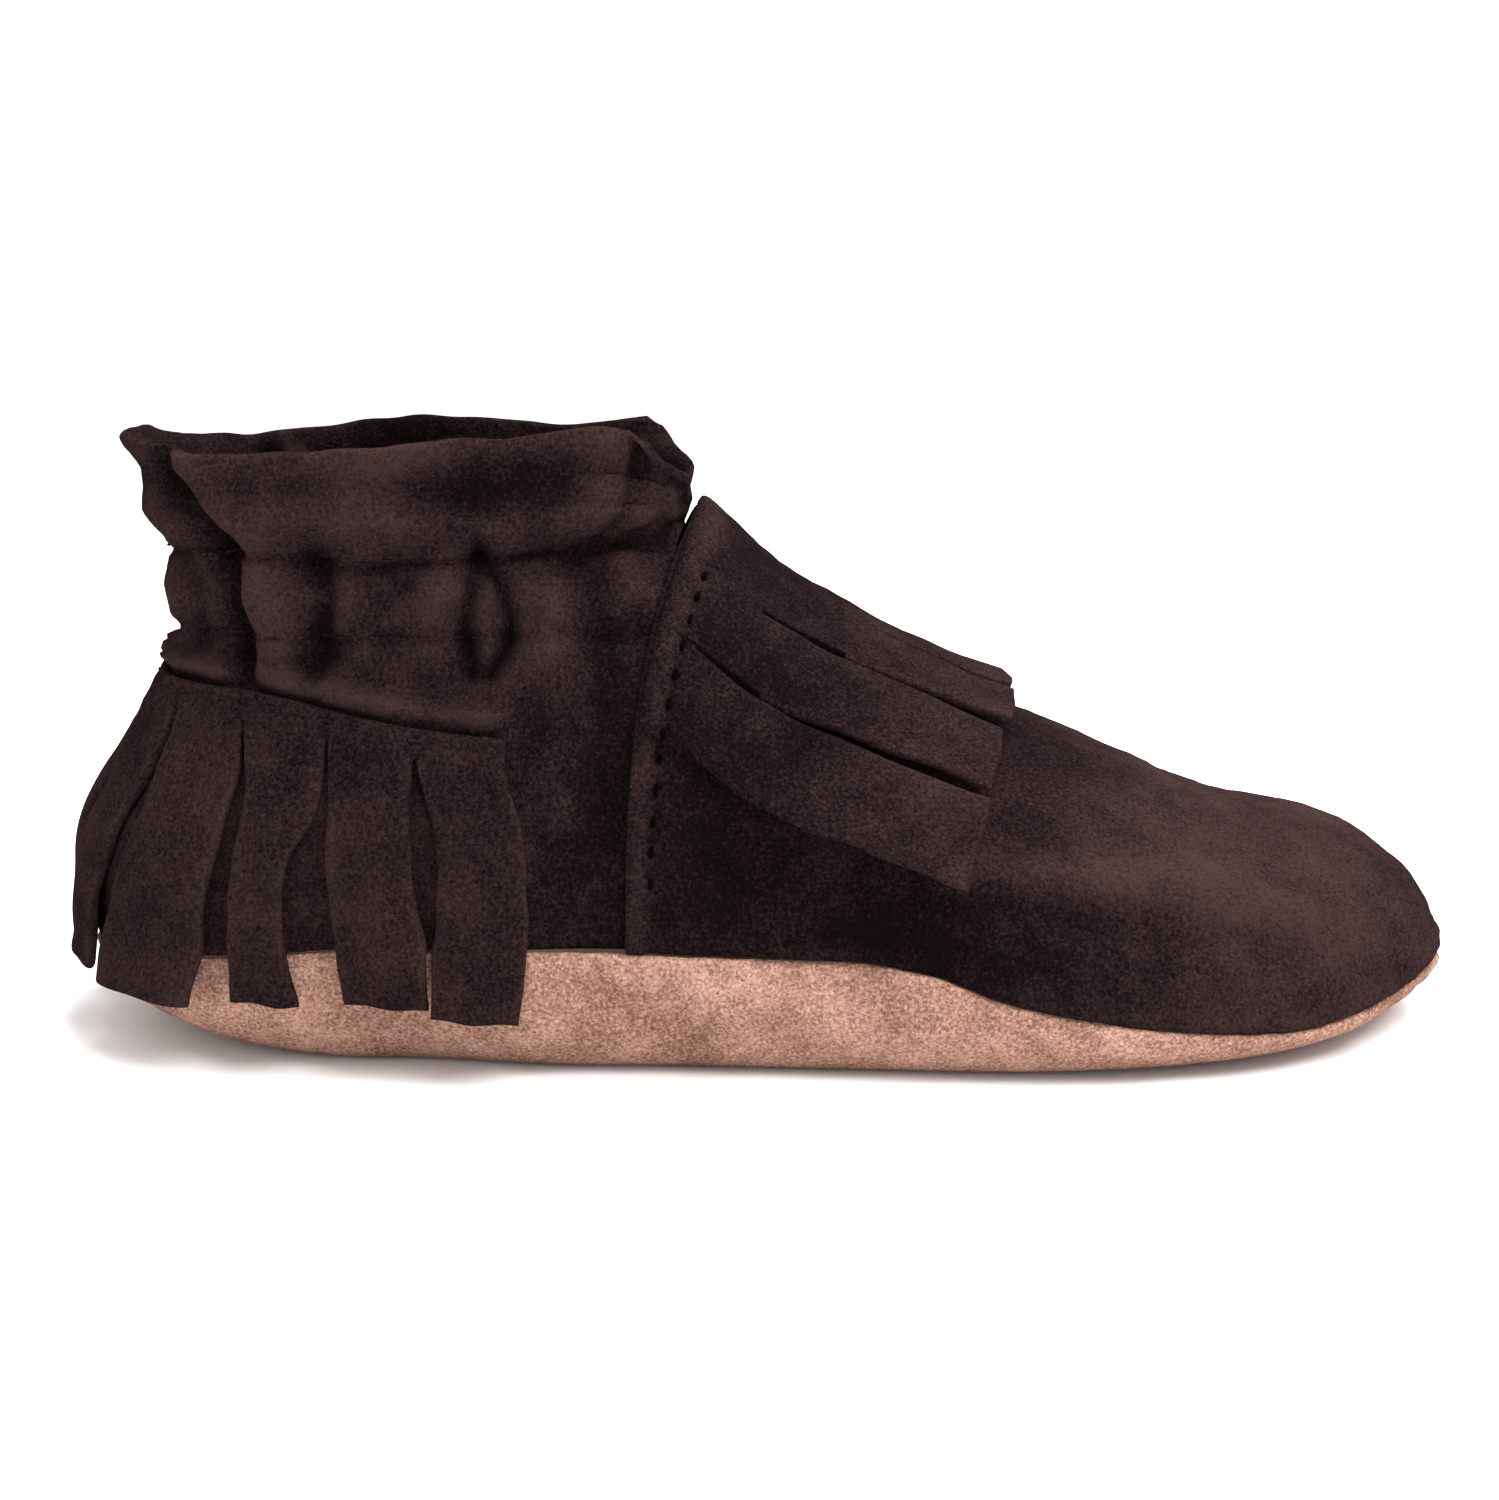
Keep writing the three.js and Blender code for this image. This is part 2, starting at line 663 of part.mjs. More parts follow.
// The fringe round the heel: its root band and the strips, numbered from the right front
// round the heel to the left front.
function buildHeelFringe() {
  const { perSide, bandHeight, taper, endZ, frontEnd, tipLift } = heelFringe;
  const middleOut = gap + suede;
  const rootZ = (around) => fringeTop(around) - bandHeight - gap;
  const band = blank(40, 2, (along, up, layer) => {
    const around = mix(-frontEnd, frontEnd, along);
    const z = fringeTop(around) - bandHeight * (1 - up);
    return raised(quarter, z, around, middleOut + layer * suede);
  });
  add("heel_fringe_band", band, brownSuede, 0.95);

  // the slits divide the root line into equal lengths
  const rootLine = [];
  for (let i = 0; i <= 100; i += 1) {
    const around = (frontEnd * i) / 100;
    rootLine.push(raised(quarter, rootZ(around), around, gap + suede / 2));
  }
  const lengths = rootLine.map(() => 0);
  for (let i = 1; i <= 100; i += 1) {
    lengths[i] = lengths[i - 1] + rootLine[i].distanceTo(rootLine[i - 1]);
  }
  const pitch = lengths[100] / perSide;
  const aroundAt = (length) => {
    const i = clamp(lengths.findIndex((l) => l >= Math.abs(length)), 1, 100);
    const part = (Math.abs(length) - lengths[i - 1]) / (lengths[i] - lengths[i - 1]);
    return (Math.sign(length) * frontEnd * (i - 1 + part)) / 100;
  };

  const down = new THREE.Vector3(0, 0, -1);
  for (let k = 0; k < 2 * perSide; k += 1) {
    const name = "heel_fringe_strip_" + (k + 1);
    const centre = aroundAt((k + 0.5 - perSide) * pitch);
    const strip = blank(3, 7, (across, along, layer) => {
      const middleZ = mix(rootZ(centre), endZ, along);
      const width = pitch - 2 * gap - taper * along;
      const around = further(middleZ, centre, (across - 0.5) * width);
      const z = mix(rootZ(around), endZ, along);
      const lift = tipLift * along * along;
      return raised(quarter, z, around, middleOut + layer * suede + lift);
    });
    add(name, strip, brownSuede, 0.95);
    const rootEdge = (around) => raised(quarter, rootZ(around), around, gap + 1.5 * suede);
    const outward = raised(quarter, rootZ(centre), centre, 9).sub(rootEdge(centre));
    // level, so that strips side by side fold out side by side, and at the root's higher corner
    const corners = [-0.5, 0.5].map((across) => further(rootZ(centre), centre, across * pitch));
    const at = rootEdge(centre).setZ(Math.max(...corners.map((corner) => rootEdge(corner).z)));
    hinge(name, at, alongRoot(rootEdge, centre).setZ(0), down, outward);
  }
}

// ---------- threads of the seams ----------

function buildThreads() {
  const rest = gap + thread;
  const coverEdge = vampFringe.stripWidth * (vampFringe.rootX.length - 0.5);
  ["right", "left"].forEach((side) => {
    const points = [];
    for (let i = 0; i <= 16; i += 1) {
      const arc = (side === "left" ? 1 : -1) * mix(vampSeam.from, vampSeam.to, i / 16);
      const x = seamXAtArc(arc) + seam.stitchIn;
      const onFlap = 1 - ease(Math.abs(arc), coverEdge + 2 * gap, coverEdge + vampSeam.run);
      points.push(raised(formPoint, x, arc, rest + onFlap * (gap + suede)));
    }
    add("vamp_seam_thread_" + side, stitching(points, 24), threadBrown, 0.8);
  });

  const heelRow = [];
  for (let i = 0; i <= 40; i += 1) {
    const around = heelFringe.frontEnd * mix(-0.98, 0.98, i / 40);
    const z = fringeTop(around) - heelFringe.rowIn;
    heelRow.push(raised(quarter, z, around, gap + 1.5 * suede + rest));
  }
  add("heel_fringe_thread", stitching(heelRow, 38), threadBrown, 0.8);

  // the turned seam's thread runs round inside the shoe, its ends meeting at the heel
  const round = [];
  for (let i = 0; i <= 56; i += 1) {
    const share = mix(soleSeam.endShare, 1 - soleSeam.endShare, i / 56);
    const side = share < 0.5 ? -1 : 1;
    const along = 1 - Math.abs(1 - 2 * share);
    const beside = outline(along, side).x;
    const lapStart = ease(beside, soleSeam.lapFrom, soleSeam.lapFull);
    const lapped = lapStart * (1 - ease(beside, soleSeam.lapLess, soleSeam.lapEnd));
    const inset = soleSuede + 2 * gap + thread + lapped * (suede + gap);
    const p = outline(along, side, inset);
    round.push(new THREE.Vector3(p.x, p.y, seamZ(p.x)));
  }
  add("sole_seam_thread", stitching(round, 64), threadBrown, 0.8);
}

buildSole();
buildVamp();
buildQuarter();
buildAnkle();
buildVampFringe();
buildHeelFringe();
buildThreads();

export default moccasin;
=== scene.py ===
# %% [markdown]
# # A baby's soft-sole moccasin
# The shoe is sewn from thin suede: a pale sole turned up at its edge, a dark vamp over the
# toe and instep, a dark quarter round the heel that is gathered at the ankle, and two
# fringes. Suede has no hard lines, so every piece here is a thin sheet that bends: a
# function of two parameters, worked out for a whole grid at once, then given a thickness.
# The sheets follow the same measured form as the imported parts, so they lie where those lie.

from types import SimpleNamespace as Sizes

import bpy
import numpy as np
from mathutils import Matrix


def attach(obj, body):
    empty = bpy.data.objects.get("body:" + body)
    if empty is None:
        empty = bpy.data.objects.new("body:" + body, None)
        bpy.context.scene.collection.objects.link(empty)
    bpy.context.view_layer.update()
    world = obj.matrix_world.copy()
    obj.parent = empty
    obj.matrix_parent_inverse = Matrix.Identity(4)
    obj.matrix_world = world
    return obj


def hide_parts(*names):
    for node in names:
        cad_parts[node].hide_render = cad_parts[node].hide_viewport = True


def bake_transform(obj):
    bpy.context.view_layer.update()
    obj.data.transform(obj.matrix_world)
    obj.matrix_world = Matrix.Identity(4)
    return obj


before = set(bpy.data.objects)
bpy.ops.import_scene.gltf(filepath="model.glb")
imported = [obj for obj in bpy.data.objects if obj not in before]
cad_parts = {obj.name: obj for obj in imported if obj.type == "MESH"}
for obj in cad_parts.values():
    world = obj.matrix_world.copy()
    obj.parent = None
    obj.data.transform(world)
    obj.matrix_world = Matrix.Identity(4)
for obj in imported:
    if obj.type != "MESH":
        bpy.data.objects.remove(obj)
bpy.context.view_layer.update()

# %% [markdown]
# ## Measures
# All of them are in millimetres, like a pattern cutter's notes, and are turned into metres
# only when a mesh is made. They repeat the part's driving sizes, because this script can
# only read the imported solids.

# %% Driving sizes
MM = 0.001
GAP = 0.3
SUEDE = 1.0
SOLE_SUEDE = 1.2
plan = Sizes(toe=64.2, ball=22, waist=-18, heel_centre=-38, heel=-60.8, ball_half=27,
             waist_half=25.2, heel_half=22.8, fullness=2.2, lean=2.5, flat=0.76)
form = Sizes(roundness=2.1, nose_start=46)
seam = Sizes(foot_x=-10.8, throat_x=-5.4, bow=2.6, lap=4, lap_low=36, lap_high=44.4, stitch_in=2)
ankle = Sizes(waist_z=40.4, rim_z=53, peak_rise=1.5, flank_low=15, flank_high=36.5, flare=1.2,
              centre_x=-30, waist_rear_x=-51.9, rim_rear_x=-56, waist_half=19.5, rim_half=21,
              waist_reach=34, rim_reach=25, reach_low=38, reach_high=47, fullness=2.4,
              notch_lean=3.6, throat_half=4.5, notch_half=15, turn_in=0.72, side_end=0.7,
              front_start=0.9, wave=0.7, waves=9, wave_start=0.6, peak_from=0.8, peak_to=0.97)
casing = Sizes(low=36.4, high=44.4, thickness=0.6, end=0.76, row_in=0.7)
elastic = Sizes(width=6, thickness=0.8)
footbed = Sizes(foam=2, lining=0.8, foam_share=0.8, lining_share=0.83)
flap = Sizes(strip_width=9.2, root_x=[7, 7, -0.3, -5.6], tip_x=22.5, tip_sweep=6.5, tip_lift=0.9)
heel = Sizes(per_side=6, top_z=32.4, front_drop=3.8, band_height=2.2, taper=0.3, end_z=7.2,
             front_end=0.8, tip_lift=1.6, row_in=1.0)
print("shoe length by the pattern:", plan.toe - plan.heel, "mm")

# %% [markdown]
# ## Small curves
# A few helpers do most of the shaping: an even blend, a smooth step, a bell and a smooth
# curve through stations. They take whole arrays, so a grid of any size costs one call.


# %% Curve helpers
def mix(a, b, t):
    """a + (b - a) t: a at 0, b at 1."""
    return a + (b - a) * t


def ease(value, low, high):
    """The smooth step 3t^2 - 2t^3, where t runs from 0 at low to 1 at high."""
    t = np.clip((value - low) / (high - low), 0, 1)
    return t * t * (3 - 2 * t)


def through(stations):
    """A cubic Hermite curve through (x, y) stations, with each slope taken from its
    neighbours on both sides."""
    xs, ys = np.array(stations, float).T
    last = len(xs) - 1
    before = np.maximum(np.arange(last + 1) - 1, 0)
    after = np.minimum(np.arange(last + 1) + 1, last)
    slopes = (ys[after] - ys[before]) / (xs[after] - xs[before])

    def curve(x):
        i = np.clip(np.searchsorted(xs, x) - 1, 0, last - 1)
        run = xs[i + 1] - xs[i]
        t = np.clip((x - xs[i]) / run, 0, 1)
        t2, t3 = t**2, t**3
        rise = ys[i] * (2 * t3 - 3 * t2 + 1) + ys[i + 1] * (3 * t2 - 2 * t3)
        return rise + run * (slopes[i] * (t3 - 2 * t2 + t) + slopes[i + 1] * (t3 - t2))

    return curve


def bell(value, centre, width):
    """exp(-((value - centre) / width)^2): 1 at centre, falling to 0 within 2 widths."""
    return np.exp(-(((value - centre) / width) ** 2))


def arch(share, fullness):
    """A quarter superellipse, (1 - share^n)^(1/n)."""
    return np.maximum(1 - np.abs(share) ** fullness, 0) ** (1 / fullness)


print("ease at a quarter of the way:", round(float(ease(0.25, 0, 1)), 3))

# %% [markdown]
# ## The foot form
# A shoemaker pulls the leather over a last. Here the last is the plan outline, the height
# of the sole's seam and of the instep's ridge along the shoe, and superellipse arches
# from side to side between them.

# %% The form
seam_z = through([
    (plan.heel, 8.5), (plan.heel + 15, 10.2), (plan.waist - 10, 11.4), (plan.ball - 14, 11.1),
    (plan.ball - 7, 9.9), (plan.ball - 1.5, 7.8), (plan.ball + 7, 5.9), (plan.ball + 18, 4.3),
    (plan.ball + 27, 3.9), (plan.toe, 6.4),
])
ridge_z = through([
    (-14, 53.5), (seam.throat_x, 46.7), (0.4, 41.2), (9.6, 35.5), (16, 31.9), (23, 28.2),
    (32, 24.2), (41.5, 20.1), (48, 18.6), (plan.toe, 18),
])


def half_width(x):
    """Half the plan's width: a superellipse toe, a superellipse heel, smooth sides between."""
    toe = plan.ball_half * arch((x - plan.ball) / (plan.toe - plan.ball), plan.fullness)
    back_share = (plan.heel_centre - x) / (plan.heel_centre - plan.heel)
    back = plan.heel_half * arch(back_share, plan.fullness)
    fore = mix(plan.waist_half, plan.ball_half, ease(x, plan.waist, plan.ball))
    aft = mix(plan.heel_half, plan.waist_half, ease(x, plan.heel_centre, plan.waist))
    sides = np.where(x > plan.waist, fore, aft)
    return np.where(x >= plan.ball, toe, np.where(x <= plan.heel_centre, back, sides))


def middle(x):
    """The shoe's middle line, which swings as the square of the way from ball to toe."""
    share = np.maximum(x - plan.ball, 0) / (plan.toe - plan.ball)
    return plan.lean * share**2


def crest_z(x):
    """The ridge's height, rounded down to the seam over the toe as a quarter circle."""
    share = np.maximum(x - form.nose_start, 0) / (plan.toe - form.nose_start)
    return mix(seam_z(x), ridge_z(x), np.sqrt(np.maximum(1 - share**2, 0)))


def form_half(x, z, inset):
    """Half-width of the form at height z, inset mm inside its surface."""
    share = np.clip((z - seam_z(x)) / (crest_z(x) - inset - seam_z(x)), 0, 1)
    return (half_width(x) - inset) * arch(share, form.roundness)


def seam_x(z):
    """X of the vamp's rear edge: upright low down, leaning forward as a power of the height."""
    foot = seam_z(seam.foot_x)
    share = np.clip((z - foot) / (ridge_z(seam.throat_x) - foot), 0, 1)
    return mix(seam.foot_x, seam.throat_x, share**seam.bow)


ARCH_STEPS = 60


def form_point(x, arc):
    """The point of the form at x, an arc distance from the ridge (left is positive). The arch
    is walked in short steps, and the point lies in the step where the distance is used up."""
    x, arc = np.broadcast_arrays(np.asarray(x, float), np.asarray(arc, float))
    angle = np.linspace(0, np.pi / 2, ARCH_STEPS + 1)
    power = 2 / form.roundness
    ys = half_width(x)[..., None] * np.sin(angle) ** power
    low = seam_z(x)[..., None]
    zs = low + (crest_z(x)[..., None] - low) * np.maximum(np.cos(angle), 0) ** power
    step = np.hypot(np.diff(ys), np.diff(zs))
    gone = np.concatenate([np.zeros(step.shape[:-1] + (1,)), np.cumsum(step, -1)], -1)
    i = np.clip((gone < np.abs(arc)[..., None]).sum(-1) - 1, 0, ARCH_STEPS - 1)[..., None]

    def take(values, at):
        return np.take_along_axis(values, at, -1)[..., 0]

    part = (np.abs(arc) - take(gone, i)) / take(step, i)
    y = mix(take(ys, i), take(ys, i + 1), part)
    z = mix(take(zs, i), take(zs, i + 1), part)
    return np.stack([x, middle(x) + np.sign(arc) * y, z], -1)


outline_x = mix(plan.heel, plan.toe, (1 - np.cos(np.linspace(0, np.pi, 4001))) / 2)
outline_y = half_width(outline_x)
outline_run = np.concatenate([[0], np.cumsum(np.hypot(np.diff(outline_x), np.diff(outline_y)))])
outline_share = outline_run / outline_run[-1]


def outline(share, side, inset=0):
    """A point of the outline at a share of the way from heel to toe, moved inward at right
    angles to it by inset."""
    share = np.clip(share, 0, 1)
    x = np.interp(share, outline_share, outline_x)
    y = np.interp(share, outline_share, outline_y)
    h = 1e-4
    ahead = np.clip(share + h, 0, 1)
    behind = np.clip(share - h, 0, 1)
    dx = np.interp(ahead, outline_share, outline_x) - np.interp(behind, outline_share, outline_x)
    dy = np.interp(ahead, outline_share, outline_y) - np.interp(behind, outline_share, outline_y)
    length = np.hypot(dx, dy)
    x = x + dy / length * inset
    y = np.maximum(y - np.abs(dx) / length * inset, 0)
    return x, middle(x) + side * y


def share_at(x):
    """Share of the heel-to-toe outline at which it passes x."""
    return np.interp(x, outline_x, outline_share)


print("half outline:", round(float(outline_run[-1]), 1), "mm")

# %% [markdown]
# ## The quarter's surface
# The quarter stands on the sole's outline at its foot and follows an oval round the ankle
# at its top, and blends from one to the other up the flank. One function gives its middle
# surface for any height and any place round the heel, so the quarter, its casing, its
# stitches and the heel fringe all share it.


# %% The quarter's surface
def front_x(z):
    """X of the quarter's front edge: under the vamp low down, behind its edge higher up, a
    little over it at the throat, and leaning back above that."""
    throat_z = ridge_z(seam.throat_x)
    lap = mix(seam.lap, -1.5 * GAP, ease(z, seam.lap_low, seam.lap_high))
    above = np.maximum(z - throat_z, 0) / (ankle.rim_z - throat_z)
    over_seam = 0.9 * bell(z, throat_z + 2.7, 0.9)
    return seam_x(z) + lap - ankle.notch_lean * above**1.7 + over_seam


def ankle_oval(share, z):
    """A superellipse round the ankle, from its heel at 0 to the quarter's front edge at 1."""
    above = np.maximum(z - ankle.waist_z, 0) / (ankle.rim_z - ankle.waist_z)
    flare = above**ankle.flare
    rear = ankle.centre_x - mix(ankle.waist_rear_x, ankle.rim_rear_x, flare)
    half = mix(ankle.waist_half, ankle.rim_half, flare)
    reach = mix(ankle.waist_reach, ankle.rim_reach, ease(z, ankle.reach_low, ankle.reach_high))
    ahead = (front_x(z) - ankle.centre_x) / reach
    angle = share * (np.pi - np.arctan2(arch(ahead, ankle.fullness), ahead))
    c, s = np.abs(np.cos(angle)), np.abs(np.sin(angle))
    size = (c**ankle.fullness + s**ankle.fullness) ** (-1 / ankle.fullness)
    length = np.where(np.cos(angle) > 0, -rear, reach)
    return ankle.centre_x + length * c * size, half * s * size


quarter_foot = share_at(front_x(seam_z(seam.foot_x)))


def quarter(z, around):
    """The quarter's middle surface: around runs from -1 at the right front edge through the
    heel at 0 to 1 at the left front edge."""
    z, around = np.broadcast_arrays(np.asarray(z, float), np.asarray(around, float))
    share = np.abs(around)
    side = np.where(around < 0, -1, 1)
    low_x = np.interp(share * quarter_foot, outline_share, outline_x)
    low_y = np.interp(share * quarter_foot, outline_share, outline_y)
    end_x = np.interp(quarter_foot, outline_share, outline_x)
    high_x, high_y = ankle_oval(share, z)
    rise = ease(z, ankle.flank_low, ankle.flank_high)
    under_vamp = ease(share, ankle.side_end, ankle.front_start)
    turned_in = (np.maximum(share - ankle.turn_in, 0) / (1 - ankle.turn_in)) ** 2
    near_front = mix(under_vamp, turned_in, ease(z, seam.lap_high - 1, seam.lap_high + 5))
    x = mix(low_x, high_x, rise) + (front_x(z) - mix(end_x, front_x(z), rise)) * under_vamp
    own = mix(low_y, high_y, rise)
    open_share = ease(z, ridge_z(seam.throat_x), ankle.rim_z)
    notch = mix(ankle.throat_half, ankle.notch_half, open_share)
    y = mix(own, np.maximum(form_half(x, z, GAP + 1.5 * SUEDE), notch), near_front)
    thick = 0.5 * SUEDE * (1 - near_front)
    shrink = 1 - thick / np.maximum(np.hypot(x - ankle.centre_x, y), 1)
    return np.stack([ankle.centre_x + (x - ankle.centre_x) * shrink, side * y * shrink, z], -1)


def rim_z(around):
    """Height of the cuff's rim: slow waves, and a rise to the two front corners."""
    wave = ankle.wave * np.cos(around * ankle.waves + ankle.wave_start)
    peak = ankle.peak_rise * ease(np.abs(around), ankle.peak_from, ankle.peak_to)
    return ankle.rim_z + wave + peak


def normal(surface, a, b):
    """The unit normal of surface(a, b), from two short steps across it each way."""
    h = 1e-3
    along_a = surface(a + h, b) - surface(a - h, b)
    along_b = surface(a, b + h) - surface(a, b - h)
    n = np.cross(along_a, along_b)
    return n / np.linalg.norm(n, axis=-1, keepdims=True)


print("ankle opening, across:", 2 * ankle.rim_half, "mm")

# %% [markdown]
# ## From a grid to a sheet of suede
# A sheet is two copies of the grid, half a thickness out and in, with a wall round the
# edge. Near a cut edge the grid lines crowd together and the thickness falls away, which
# rounds the edge off as worn suede is. Solidify and Bevel would do it as well, but here the
# thickness is part of the formula, so neighbouring pieces stay clear of each other.


# %% Sheet helpers
EDGE_AT = np.array([0, 0.08, 0.22, 0.42, 0.7])  # mm in from a cut edge
EDGE_FULL = np.array([0.4, 0.68, 0.88, 0.98, 1])  # share of the thickness there


def stops(count, length, first=True, last=True):
    """Grid lines from 0 to 1 over a length in mm, and the share of full thickness at each. A
    cut edge, first or last, gets extra lines that round it."""
    t = np.linspace(0, 1, count)
    full = np.ones(count)
    if first:
        t = np.concatenate([EDGE_AT / length, t[t > 1.2 * EDGE_AT[-1] / length]])
        full = np.concatenate([EDGE_FULL, np.ones(len(t) - len(EDGE_AT))])
    if last:
        kept = t < 1 - 1.2 * EDGE_AT[-1] / length
        t = np.concatenate([t[kept], 1 - EDGE_AT[::-1] / length])
        full = np.concatenate([full[kept], EDGE_FULL[::-1]])
    return t, full


def quads(rows, columns, wrap=False):
    """Index quads of a grid whose points are counted row by row."""
    r = np.arange(rows - 1)[:, None]
    c = np.arange(columns if wrap else columns - 1)[None, :]
    a, b = r * columns + c, r * columns + (c + 1) % columns
    return np.stack([a, b, b + columns, a + columns], -1).reshape(-1, 4)


def closed_sheet(front, back):
    """Points and faces of a body between two grids of the same shape: both grids, and a wall
    that follows their border."""
    rows, columns = front.shape[:2]
    count = rows * columns
    index = np.arange(count).reshape(rows, columns)
    border = np.concatenate([index[0, :-1], index[:-1, -1], index[-1, :0:-1], index[:0:-1, 0]])
    wall = np.stack([np.roll(border, -1), border, border + count, np.roll(border, -1) + count], -1)
    face = quads(rows, columns)
    size = front.shape[-1]
    points = np.concatenate([front.reshape(-1, size), back.reshape(-1, size)])
    return points, [face, face[:, ::-1] + count, wall]


def closed_disc(front, back):
    """The same for a round grid: its rows are rings out from a pole, its columns run round."""
    rings, columns = front.shape[:2]
    count = 1 + (rings - 1) * columns
    face = quads(rings - 1, columns, True) + 1
    spoke = np.arange(columns)
    fan = np.stack([0 * spoke, 1 + (spoke + 1) % columns, 1 + spoke], -1)
    outer = 1 + (rings - 2) * columns + spoke
    beside = np.roll(outer, -1)
    wall = np.stack([beside, outer, outer + count, beside + count], -1)[:, ::-1]
    size = front.shape[-1]
    flat = [np.concatenate([g[:1, 0], g[1:].reshape(-1, size)]) for g in (front, back)]
    faces = [face[:, ::-1], fan[:, ::-1], face + count, fan + count, wall]
    return np.concatenate(flat), faces


def shaded(grid, relief, gain=0.3):
    """The grid with a fourth value for its colour: painted highlight on ridges, painted
    shade in creases, one half where there is no relief."""
    shade = np.clip(0.5 + gain * relief, 0, 1)
    return np.concatenate([grid, np.broadcast_to(shade, grid.shape[:-1])[..., None]], -1)


def skins(p, n, out, half, shade, back_shade):
    """Both shaded skins of a sheet whose middle lies out mm along the normals n from p."""
    return (shaded(p + n * (out + half)[..., None], shade),
            shaded(p + n * (out - half)[..., None], back_shade))


def volume(points, faces):
    """Signed volume: positive when the faces look outward."""
    total = 0
    for block in faces:
        p = points[block]
        for k in range(1, block.shape[1] - 1):
            total += np.einsum("ij,ij->", p[:, 0], np.cross(p[:, k], p[:, k + 1])) / 6
    return total


SHARP_DEGREES = 55


def piece(name, points, faces, material, body, slot, nodes):
    """A finished piece: mesh in metres, smooth shading with sharp cut corners, its material,
    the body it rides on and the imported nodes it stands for."""
    shade = points[:, 3] if points.shape[1] > 3 else np.full(len(points), 0.5)
    points = points[:, :3]
    if volume(points, faces) < 0:
        faces = [block[:, ::-1] for block in faces]
    mesh = bpy.data.meshes.new(name)
    rows = [row for block in faces for row in block.tolist()]
    mesh.from_pydata((points * MM).tolist(), [], rows)
    mesh.attributes.new("shade", "FLOAT", "POINT").data.foreach_set("value", shade)
    mesh.materials.append(material)
    mesh.shade_smooth()
    mesh.set_sharp_from_angle(angle=np.radians(SHARP_DEGREES))
    mesh.update()
    made = bpy.data.objects.new(name, mesh)
    bpy.context.scene.collection.objects.link(made)
    if body:
        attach(made, body)
    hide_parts(*nodes)
    print(f"{name}: {len(points)} points, {volume(points, faces) if body else 0:.0f} mm3")
    return made


# %% [markdown]
# ## Folds and waves
# Suede creases softly. A crease here is a polyline in side view with a bell-shaped
# profile, added along the normal. Small uneven waves are sums of sines with seeded
# directions, so each run gives the same shoe.


# %% Fold helpers
def fold(x, z, line, width, height):
    """A crease along a polyline of (x, z) points: height times exp(-(d / width)^2), where d is
    the distance to the nearest stretch of the line."""
    nearest = np.full(np.shape(x), 1e9)
    for (x0, z0), (x1, z1) in zip(line[:-1], line[1:]):
        run = (x1 - x0) ** 2 + (z1 - z0) ** 2
        t = np.clip(((x - x0) * (x1 - x0) + (z - z0) * (z1 - z0)) / run, 0, 1)
        away = np.hypot(x - mix(x0, x1, t), z - mix(z0, z1, t))
        nearest = np.minimum(nearest, away)
    return height * bell(nearest, 0, width)


def ripples(p, wavelength, seed, waves=14):
    """An uneven field of about -1 to 1: sines of nearly one wavelength in seeded directions."""
    rng = np.random.default_rng(seed)
    total = np.zeros(p.shape[:-1])
    for _ in range(waves):
        direction = rng.normal(size=3)
        direction /= np.linalg.norm(direction)
        pitch = wavelength * rng.uniform(0.7, 1.5)
        total += np.sin(p @ direction * (2 * np.pi / pitch) + rng.uniform(0, 2 * np.pi))
    return total / np.sqrt(waves)


print("a crease's height on its line:", fold(0.0, 0.0, [(-1, 0), (1, 0)], 1, 1))

# %% [markdown]
# ## Suede
# Suede is a nap of short fibres. It has no gloss but glows a little at grazing angles,
# its brushed patches are lighter, and its shade changes fibre by fibre. One node group
# makes the nap's colour and height from noise on Object coordinates and from the mesh's
# shade attribute, which holds painted shade in creases and painted highlight on ridges;
# each leather gives it its own colours. Sheen stays in the material, on the shader's own
# sockets.


# %% The nap group
def new_group(name, inputs, outputs):
    """A shader node group with named sockets, and its input and output nodes."""
    group = bpy.data.node_groups.new(name, "ShaderNodeTree")
    for kind, sockets in (("INPUT", inputs), ("OUTPUT", outputs)):
        for label, socket_type, value in sockets:
            socket = group.interface.new_socket(label, in_out=kind, socket_type=socket_type)
            if value is not None:
                socket.default_value = value
    return group, group.nodes.new("NodeGroupInput"), group.nodes.new("NodeGroupOutput")


def node(tree, kind, **settings):
    """A node with its settings; a setting named after an input sets that input's value."""
    made = tree.nodes.new(kind)
    for key, value in settings.items():
        if hasattr(made, key):
            setattr(made, key, value)
        else:
            made.inputs[key.replace("_", " ")].default_value = value
    return made


def noise(tree, coordinates, scale, detail=2.0, distortion=0.0):
    """A noise texture on the given coordinates; returns its value output."""
    made = node(tree, "ShaderNodeTexNoise", Scale=scale, Detail=detail, Distortion=distortion)
    tree.links.new(coordinates, made.inputs["Vector"])
    return made.outputs["Fac"]


def ramp(tree, value, low, high, to_low=0.0, to_high=1.0):
    """Map Range with a smooth step from low..high to to_low..to_high."""
    made = node(tree, "ShaderNodeMapRange", interpolation_type="SMOOTHSTEP")
    for i, limit in enumerate((low, high, to_low, to_high)):
        made.inputs[i + 1].default_value = limit
    tree.links.new(value, made.inputs[0])
    return made.outputs[0]


def tint(tree, factor, first, second):
    """Mixes two colours; each is a socket or an RGBA tuple."""
    made = node(tree, "ShaderNodeMix", data_type="RGBA")
    tree.links.new(factor, made.inputs[0])
    for at, value in ((6, first), (7, second)):
        if isinstance(value, tuple):
            made.inputs[at].default_value = value
        else:
            tree.links.new(value, made.inputs[at])
    return made.outputs[2]


def add_up(tree, first, second, share):
    """first + second * share."""
    made = node(tree, "ShaderNodeMath", operation="MULTIPLY_ADD")
    made.inputs[1].default_value = share
    tree.links.new(second, made.inputs[0])
    tree.links.new(first, made.inputs[2])
    return made.outputs[0]


